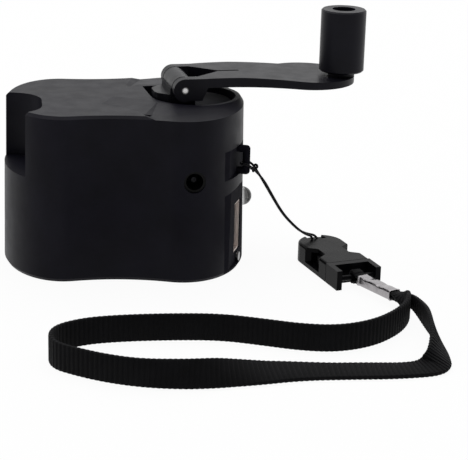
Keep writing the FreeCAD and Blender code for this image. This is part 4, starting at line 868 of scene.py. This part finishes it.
def corner_panels(finish):
    """The bevelled corner's flat with its peaked top, and the hollow behind the eye."""
    product = {"operation": "DOT_PRODUCT"}
    side = finish.node("ShaderNodeVectorMath", product, {0: finish.place(), 1: corner_along}, "Value")
    out = finish.node("ShaderNodeVectorMath", product, {0: finish.place(), 1: corner_out}, "Value")
    away = side.maths("ABSOLUTE", side - PANEL_MIDDLE)
    height = finish.height()
    flat = below(finish, height + away * PANEL_SLOPE, PANEL_PEAK)
    hollow = finish.ramp(height, HOLLOW_FOOT, HOLLOW_FOOT + SOFT_EDGE) * below(finish, height, HOLLOW_HEAD)
    on_corner = finish.ramp(out, CORNER_START, CORNER_START + 1.0 * MM)
    return below(finish, away, PANEL_HALF) * on_corner * (flat + hollow)


def under_leaf(finish):
    """The turntable's own face, below the leaf that carries the barrel."""
    return 1 - finish.ramp(finish.height(), TURNTABLE_TOP + 0.05 * MM, TURNTABLE_TOP + 0.15 * MM)


print("panel peak", PANEL_PEAK / MM, "mm up, hollow up to", HOLLOW_HEAD / MM, "mm")

# %% Plastics of the charger
case_black = plastic("case_black", (0.005, 0.0047, 0.0086), 0.44, 0.22 * MM, 0.016 * MM, ior=1.19,
                     dull=corner_panels)
base_black = plastic("base_black", (0.004, 0.004, 0.006), 0.5, 0.3 * MM, 0.03 * MM)
crank_black = plastic("crank_black", (0.0055, 0.0052, 0.0085), 0.38, 0.12 * MM, 0.005 * MM, ior=1.2)
hub_black = plastic("hub_black", (0.0045, 0.0045, 0.007), 0.36, 0.14 * MM, 0.008 * MM, ior=1.22,
                    dull=under_leaf)
knob_black = plastic("knob_black", (0.004, 0.0038, 0.0072), 0.38, 0.18 * MM, 0.01 * MM, ior=1.22)
buckle_black = plastic("buckle_black", (0.0025, 0.0025, 0.003), 0.3, 0.1 * MM, 0.003 * MM, ior=1.13)
socket_black = plastic("socket_black", (0.002, 0.002, 0.0022), 0.45, 0.12 * MM, 0.006 * MM)
frame_grey = plastic("frame_grey", (0.035, 0.035, 0.038), 0.5, 0.16 * MM, 0.01 * MM)
gear_white = plastic("gear_white", (0.68, 0.66, 0.6), 0.38, 0.15 * MM, 0.005 * MM, 0.05, 1.45)
package_black = plastic("package_black", (0.012, 0.012, 0.012), 0.55, 0.08 * MM, 0.008 * MM)
ferrite = plastic("ferrite", (0.03, 0.03, 0.032), 0.6, 0.1 * MM, 0.02 * MM)
sleeve_blue = plastic("sleeve_blue", (0.01, 0.02, 0.11), 0.25, 0.2 * MM, 0.003 * MM, 0.1, 1.45)
print(len(bpy.data.materials), "finishes so far")


# %% [markdown]
# ## Metals
# Turned steel carries fine rings, drawn sheet carries long faint streaks, and plated sheet is nearly a
# mirror with a cloudy patch here and there. All of them are one function: noise squeezed along one axis
# makes the streaks, and a broader noise dulls a patch. The socket's shell is a little less than fully
# metallic, because the eye looks into its shaded inside.

# %% Metals
def metal(name, colour, roughness, stretch, depth=0.004 * MM, dull=0.55, metallic=1.0):
    """Stretch squeezes the streaks along each axis, and dull is how dark the cloudy patches are."""
    finish = Finish(name, Metallic=metallic)
    streak = finish.noise(finish.stretched(stretch), 1.0, 5.0, 0.7)
    cloud = finish.ramp(finish.noise(finish.place(), 420.0, 4.0), 0.4, 0.72)
    finish.feed("Base Color", finish.blend(cloud, colour, tuple(c * dull for c in colour)))
    finish.feed("Roughness", streak * 0.16 + cloud * 0.12 + (roughness - 0.08))
    finish.bump(streak, depth)
    return finish.material


steel = metal("steel", (0.6, 0.59, 0.57), 0.3, (6000, 6000, 700))
screw_steel = metal("screw_steel", (0.3, 0.3, 0.31), 0.28, (5000, 5000, 5000))
dark_steel = metal("dark_steel", (0.09, 0.09, 0.095), 0.36, (5000, 5000, 5000))
# Painted shade: the DC jack's pin is steel, given a near-black colour because it sits in the shade of its
# socket.
jack_pin_painted_shade = metal("jack_pin_painted_shade", (0.02, 0.02, 0.022), 0.5, (5000, 5000, 5000))
nickel = metal("nickel", (0.95, 0.85, 0.8), 0.32, (900, 900, 200), 0.0005 * MM, 0.92, 0.7)
clamp_plate = metal("clamp_plate", (0.37, 0.355, 0.365), 0.16, (2500, 2500, 2500), 0.004 * MM, 0.8)
gold = metal("gold", (0.85, 0.62, 0.25), 0.25, (3000, 3000, 3000), 0.001 * MM)
zinc = metal("zinc", (0.5, 0.51, 0.52), 0.38, (1200, 1200, 8000))
bronze = metal("bronze", (0.5, 0.34, 0.15), 0.45, (9000, 9000, 9000), 0.01 * MM)
print("metals", [made.name for made in (steel, screw_steel, nickel, clamp_plate, gold, zinc, bronze)])


# %% [markdown]
# ## Finishes of single pieces
# Four pieces look like nothing else here. The winding is close turns of enamelled copper wire, which a
# wave texture up the coil draws. The hinge pin is pressed steel, with shade painted into its colour
# round the edge of its head, and the distance from the pin's axis gives that. The board has copper
# tracks that shimmer through green solder mask, and bricks laid flat are near enough to them. The LED
# is clear resin: it lets light through, and shade is painted into its colour where the eye looks along
# its skin and towards its tip.

# %% Winding and pin
def wound_copper():
    """Enamelled wire in close turns: fine rings up the coil."""
    finish = Finish("wound_copper", Metallic=1.0)
    turns = finish.node("ShaderNodeTexWave", {"bands_direction": "Z"},
                        {"Vector": finish.place(), "Scale": 1500.0, "Distortion": 0.6}, "Fac")
    finish.feed("Base Color", finish.blend(turns, (0.3, 0.1, 0.03), (0.7, 0.28, 0.1)))
    finish.feed("Roughness", turns * -0.15 + 0.45)
    finish.bump(turns, 0.05 * MM)
    return finish.material


# Painted shade on the pin's head: it starts at the first distance from the axis and is full at the second.
PIN_PAINTED_SHADE_START = 0.45 * MM
PIN_PAINTED_SHADE_FULL = 0.9 * MM


def pin_steel_painted_rim_shade():
    """A pressed pin: steel at the middle of its head, with shade painted into its colour round the edge."""
    finish = Finish("pin_steel_painted_rim_shade", Metallic=1.0)
    offset = finish.node("ShaderNodeVectorMath", {"operation": "SUBTRACT"}, {0: finish.place(), 1: HINGE})
    sideways = finish.node("ShaderNodeVectorMath", {"operation": "CROSS_PRODUCT"}, {0: offset, 1: PIN_WAY})
    away = finish.node("ShaderNodeVectorMath", {"operation": "LENGTH"}, {0: sideways}, "Value")
    # Painted shade: the head's colour goes from steel to near black towards its edge.
    painted_rim_shade = finish.ramp(away, PIN_PAINTED_SHADE_START, PIN_PAINTED_SHADE_FULL)
    finish.feed("Base Color", finish.blend(painted_rim_shade, (0.75, 0.74, 0.74), (0.02, 0.02, 0.022)))
    finish.feed("Roughness", painted_rim_shade * 0.3 + 0.25)
    return finish.material


print("pin bright to", PIN_PAINTED_SHADE_START / MM, "mm from its axis")

# %% Board and lens
# Painted shade on the LED's lens: its colour darkens from the first distance out to the second.
LENS_PAINTED_SHADE_START = 31.6 * MM
LENS_PAINTED_SHADE_FULL = 32.3 * MM


def board_green():
    """Solder mask over faint copper tracks."""
    finish = Finish("board_green", IOR=1.55)
    tracks = finish.node("ShaderNodeTexBrick", None,
                         {"Vector": finish.place(), "Scale": 260.0, "Mortar Size": 0.03}, "Fac")
    finish.feed("Base Color", finish.blend(tracks, (0.008, 0.075, 0.02), (0.02, 0.16, 0.05)))
    finish.feed("Roughness", tracks * 0.1 + 0.28)
    finish.bump(tracks, 0.02 * MM)
    return finish.material


def clear_epoxy_painted_shade():
    """Lens resin: clear beside the case, with painted shade towards its tip and along its outline."""
    finish = Finish("clear_epoxy_painted_shade", IOR=1.45, Transmission_Weight=1.0)
    ripple = finish.noise(finish.place(), 500.0, 2.0)
    out = finish.node("ShaderNodeSeparateXYZ", None, {0: finish.place()}, "X")
    # Painted shade: darker towards the tip, and darker still where the eye looks along the lens's skin.
    painted_tip_shade = finish.ramp(out, LENS_PAINTED_SHADE_START, LENS_PAINTED_SHADE_FULL)
    outline = finish.ramp(finish.node("ShaderNodeLayerWeight", None, {"Blend": 0.5}, "Facing"), 0.45, 0.95)
    clear = 0.85 - painted_tip_shade * 0.8 + ripple * 0.06
    grey = clear - clear * outline * 0.95
    finish.feed("Base Color", finish.blend(grey, (0, 0, 0), (1, 1, 1)))
    finish.feed("Roughness", ripple * 0.05 + 0.03)
    finish.bump(ripple, 0.01 * MM)
    return finish.material


# The painted shade on the lens is full this far out.
print("lens turns smoky at", LENS_PAINTED_SHADE_FULL / MM, "mm")


# %% [markdown]
# ## Cloth
# Black nylon is never flat black: the threads scatter what light they catch, and worn patches are a
# little lighter. The webbing's ribs are real shape, so its finish only adds threads and wear. The
# cord's braid is too fine for that, so two waves that wind opposite ways round the cord's own map
# cross into diagonal carriers.

# %% Cloth finishes
CARRIERS = 7800


def webbing_finish():
    """Black yarn, with lighter worn patches."""
    finish = Finish("webbing_black", IOR=1.2, Sheen_Weight=0.03, Sheen_Roughness=0.4)
    threads = finish.noise(finish.place(), 5200.0, 3.0, 0.7)
    worn = finish.ramp(finish.noise(finish.place(), 140.0, 4.0), 0.4, 0.7)
    light = worn * 0.5 + threads * 0.5
    finish.feed("Base Color", finish.blend(light, (0.0016, 0.0016, 0.002), (0.005, 0.005, 0.006)))
    finish.feed("Roughness", threads * 0.15 + 0.7)
    finish.bump(threads, 0.05 * MM)
    return finish.material


def braid_finish():
    """Diagonal carriers of a braid: two crossing waves on the cord's own map."""
    finish = Finish("braid_black", IOR=1.2, Sheen_Weight=0.04)
    along = finish.node("ShaderNodeUVMap", {"uv_map": "along"})
    length = finish.node("ShaderNodeSeparateXYZ", None, {0: along}, "X")
    around = finish.node("ShaderNodeSeparateXYZ", None, {0: along}, "Y")
    one_way = length.maths("SINE", length * CARRIERS + around * (4 * math.pi))
    other_way = length.maths("SINE", length * CARRIERS - around * (4 * math.pi))
    weave = one_way.maths("MAXIMUM", one_way, other_way)
    crest = finish.ramp(weave, -0.2, 1)
    finish.feed("Base Color", finish.blend(crest, (0.0015, 0.0015, 0.002), (0.008, 0.008, 0.01)))
    finish.feed("Roughness", weave * -0.06 + 0.6)
    finish.bump(weave, 0.03 * MM)
    return finish.material


webbing_black = webbing_finish()
braid_black = braid_finish()
strap.data.materials.append(webbing_black)
cord.data.materials.append(braid_black)
knot.data.materials.append(braid_black)
print("cloth", webbing_black.name, braid_black.name)


# %% [markdown]
# ## A rib on every weft thread
# The ribs are spaced evenly along the line. Each asks the webbing's frame where it is and which way it
# faces, and those three directions, as the columns of a matrix, give the rotation of its copy. The
# third is worked out from the other two, so the matrix never mirrors the rib.

# %% Put a rib on every weft thread
rib_count = int(strap_lengths[-1] / RIB_PITCH)
rib_places = []
for k in range(rib_count):
    length = (k + 0.5) * RIB_PITCH
    point, way, across, _ = strap_frame(length)
    facing = Matrix((way, across, way.cross(across))).transposed().to_euler()
    rib_places.append((point, facing, (1, *gathered_at(length))))
ribs = repeated("webbing_ribs", rib, rib_places, "strap", webbing_black)
strap_middle = [strap_frame(length)[0] for length in strap_lengths]
walked(strap_middle)[-1]
print(rib_count, "ribs,", len(ribs.data.polygons), "faces")


# %% [markdown]
# ## Finishes for the packed solids
# The packed solids keep their shapes. A table gives each one the finish that its real piece has, which
# is easier to check than a line of code for each, and the last print shows that none was missed.

# %% Finishes by piece
NODE_FINISHES = {
    "main_shell": case_black,
    "base_cover": base_black,
    "base_screws": dark_steel,
    "end_screw": screw_steel,
    "usb_shell": nickel,
    "usb_tongue": socket_black,
    "usb_contacts": gold,
    "led_lens": clear_epoxy_painted_shade(),
    "dc_jack": socket_black,
    # The jack's pin has painted shade for its colour.
    "dc_jack_pin": jack_pin_painted_shade,
    "circuit_board": board_green(),
    "storage_capacitor": sleeve_blue,
    "regulator": package_black,
    "rectifier_diodes": package_black,
    "inductor": ferrite,
    "gearbox_base": frame_grey,
    "gearbox_top": frame_grey,
    "gearbox_screws": steel,
    "generator_can": zinc,
    "generator_end_cap": frame_grey,
    "generator_winding": wound_copper(),
    "generator_rotor": ferrite,
    "generator_pinion": gear_white,
    "hub_bush": bronze,
    "hub_washer": steel,
    "hub_screw": steel,
    "first_axle": steel,
    "second_axle": steel,
    "first_gear": gear_white,
    "second_gear": gear_white,
    "drive_gear": gear_white,
    "crank_hub": hub_black,
    "crank_arm": crank_black,
    "hinge_pin": pin_steel_painted_rim_shade(),
    "knob": knob_black,
    "knob_axle": dark_steel,
    "buckle_socket": buckle_black,
    "buckle_clip": buckle_black,
}
for name, finish in NODE_FINISHES.items():
    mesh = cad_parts[name].data
    mesh.materials.clear()
    mesh.materials.append(finish)
clamp.data.materials.append(clamp_plate)
# The hinge's rings of painted shade take the socket's black.
washers.data.materials.append(socket_black)
left = set(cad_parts) - set(NODE_FINISHES) - {"lanyard_cord", "wrist_strap", "strap_clamp"}
print("pieces without a finish:", sorted(left))


# %% [markdown]
# ## Floor
# The charger stands on a wide white sheet. To reach white with light alone, the lamp would have to wash
# out the object, so the floor gives out most of its white by itself, to the eye and in reflections. A
# small share of it is lit, which keeps a soft, pale shadow under the charger.

# %% Floor
OWN_WHITE = 0.94
FLOOR_HALF = 4.0


def seen_or_mirrored(board):
    """1 for rays from the eye, a mirror or a lens, 0 for light that only brightens a surface."""
    eye = board.node("ShaderNodeLightPath", output="Is Camera Ray")
    mirror = board.node("ShaderNodeLightPath", output="Is Glossy Ray")
    lens = board.node("ShaderNodeLightPath", output="Is Transmission Ray")
    return eye.maths("MAXIMUM", eye.maths("MAXIMUM", eye, mirror), lens)


def floor_finish():
    """A pale matt sheet with a faint grain, that gives out most of its white by itself."""
    finish = Finish("floor_white", Roughness=0.9)
    finish.shader.inputs["Specular IOR Level"].default_value = 0.0
    grain = finish.noise(finish.place(), 40.0, 3.0)
    finish.feed("Base Color", finish.blend(grain, (0.78, 0.78, 0.78), (0.82, 0.82, 0.82)))
    white = finish.node("ShaderNodeEmission", None, {"Color": (1, 1, 1, 1), "Strength": 1.0}, "Emission")
    lit = Signal(finish, finish.shader.outputs[0])
    share = seen_or_mirrored(finish) * OWN_WHITE
    mixed = finish.node("ShaderNodeMixShader", None, {0: share, 1: lit, 2: white})
    finish.tree.links.new(mixed.socket, finish.tree.nodes["Material Output"].inputs["Surface"])
    return finish.material


floor_mesh = bpy.data.meshes.new("floor")
floor_corners = [(x * FLOOR_HALF, y * FLOOR_HALF, 0) for x, y in ((-1, -1), (1, -1), (1, 1), (-1, 1))]
floor_mesh.from_pydata(floor_corners, [], [(0, 1, 2, 3)])
floor = bpy.data.objects.new("floor", floor_mesh)
floor.location.z = -0.02 * MM
bpy.context.collection.objects.link(floor)
floor.data.materials.append(floor_finish())
print("floor", 2 * FLOOR_HALF, "m wide")


# %% [markdown]
# ## Room and lamp
# The room is white to the eye. As a light, and as what a black face mirrors, it is brighter behind the
# charger than in front of it, which is why the upright black faces stay black while the top faces turn
# grey. The direction's Y, mapped to a strength, does both. One wide lamp hangs above and behind.

# %% Room and lamp
world = bpy.data.worlds.new("room")
bpy.context.scene.world = world
world.use_nodes = True
room = Board(world.node_tree)
room.tree.nodes.clear()
way = room.node("ShaderNodeTexCoord", output="Generated")
depth = room.node("ShaderNodeSeparateXYZ", None, {0: way}, "Y")


def from_front_to_back(full_from, least):
    """The least strength in front of the charger, rising to 1 behind it."""
    return room.node("ShaderNodeMapRange", None, {"Value": depth, "From Min": -0.7, "From Max": full_from,
                                                  "To Min": least, "To Max": 1.0})


light = from_front_to_back(0.5, 0.35)
mirrored = from_front_to_back(0.3, 0.3)
eye = room.node("ShaderNodeLightPath", output="Is Camera Ray")
seen = seen_or_mirrored(room)
reflected = mirrored * (seen - eye) + eye
strength = reflected + light * (1 - seen)
sky = room.node("ShaderNodeBackground", None, {"Color": (1, 1, 1, 1), "Strength": strength})
end = room.tree.nodes.new("ShaderNodeOutputWorld")
room.tree.links.new(sky.socket, end.inputs["Surface"])

lamp = bpy.data.lights.new("light_above", "AREA")
lamp.size = 1.1
lamp.energy = 8.0
above_lamp = bpy.data.objects.new("light_above", lamp)
above_lamp.location = (0.0, 0.35, 1.1)
above_lamp.rotation_euler = (-above_lamp.location).to_track_quat("-Z", "Y").to_euler()
bpy.context.collection.objects.link(above_lamp)

bpy.context.scene.view_settings.view_transform = "Standard"
print("lamp", lamp.energy, "W")


# %% [markdown]
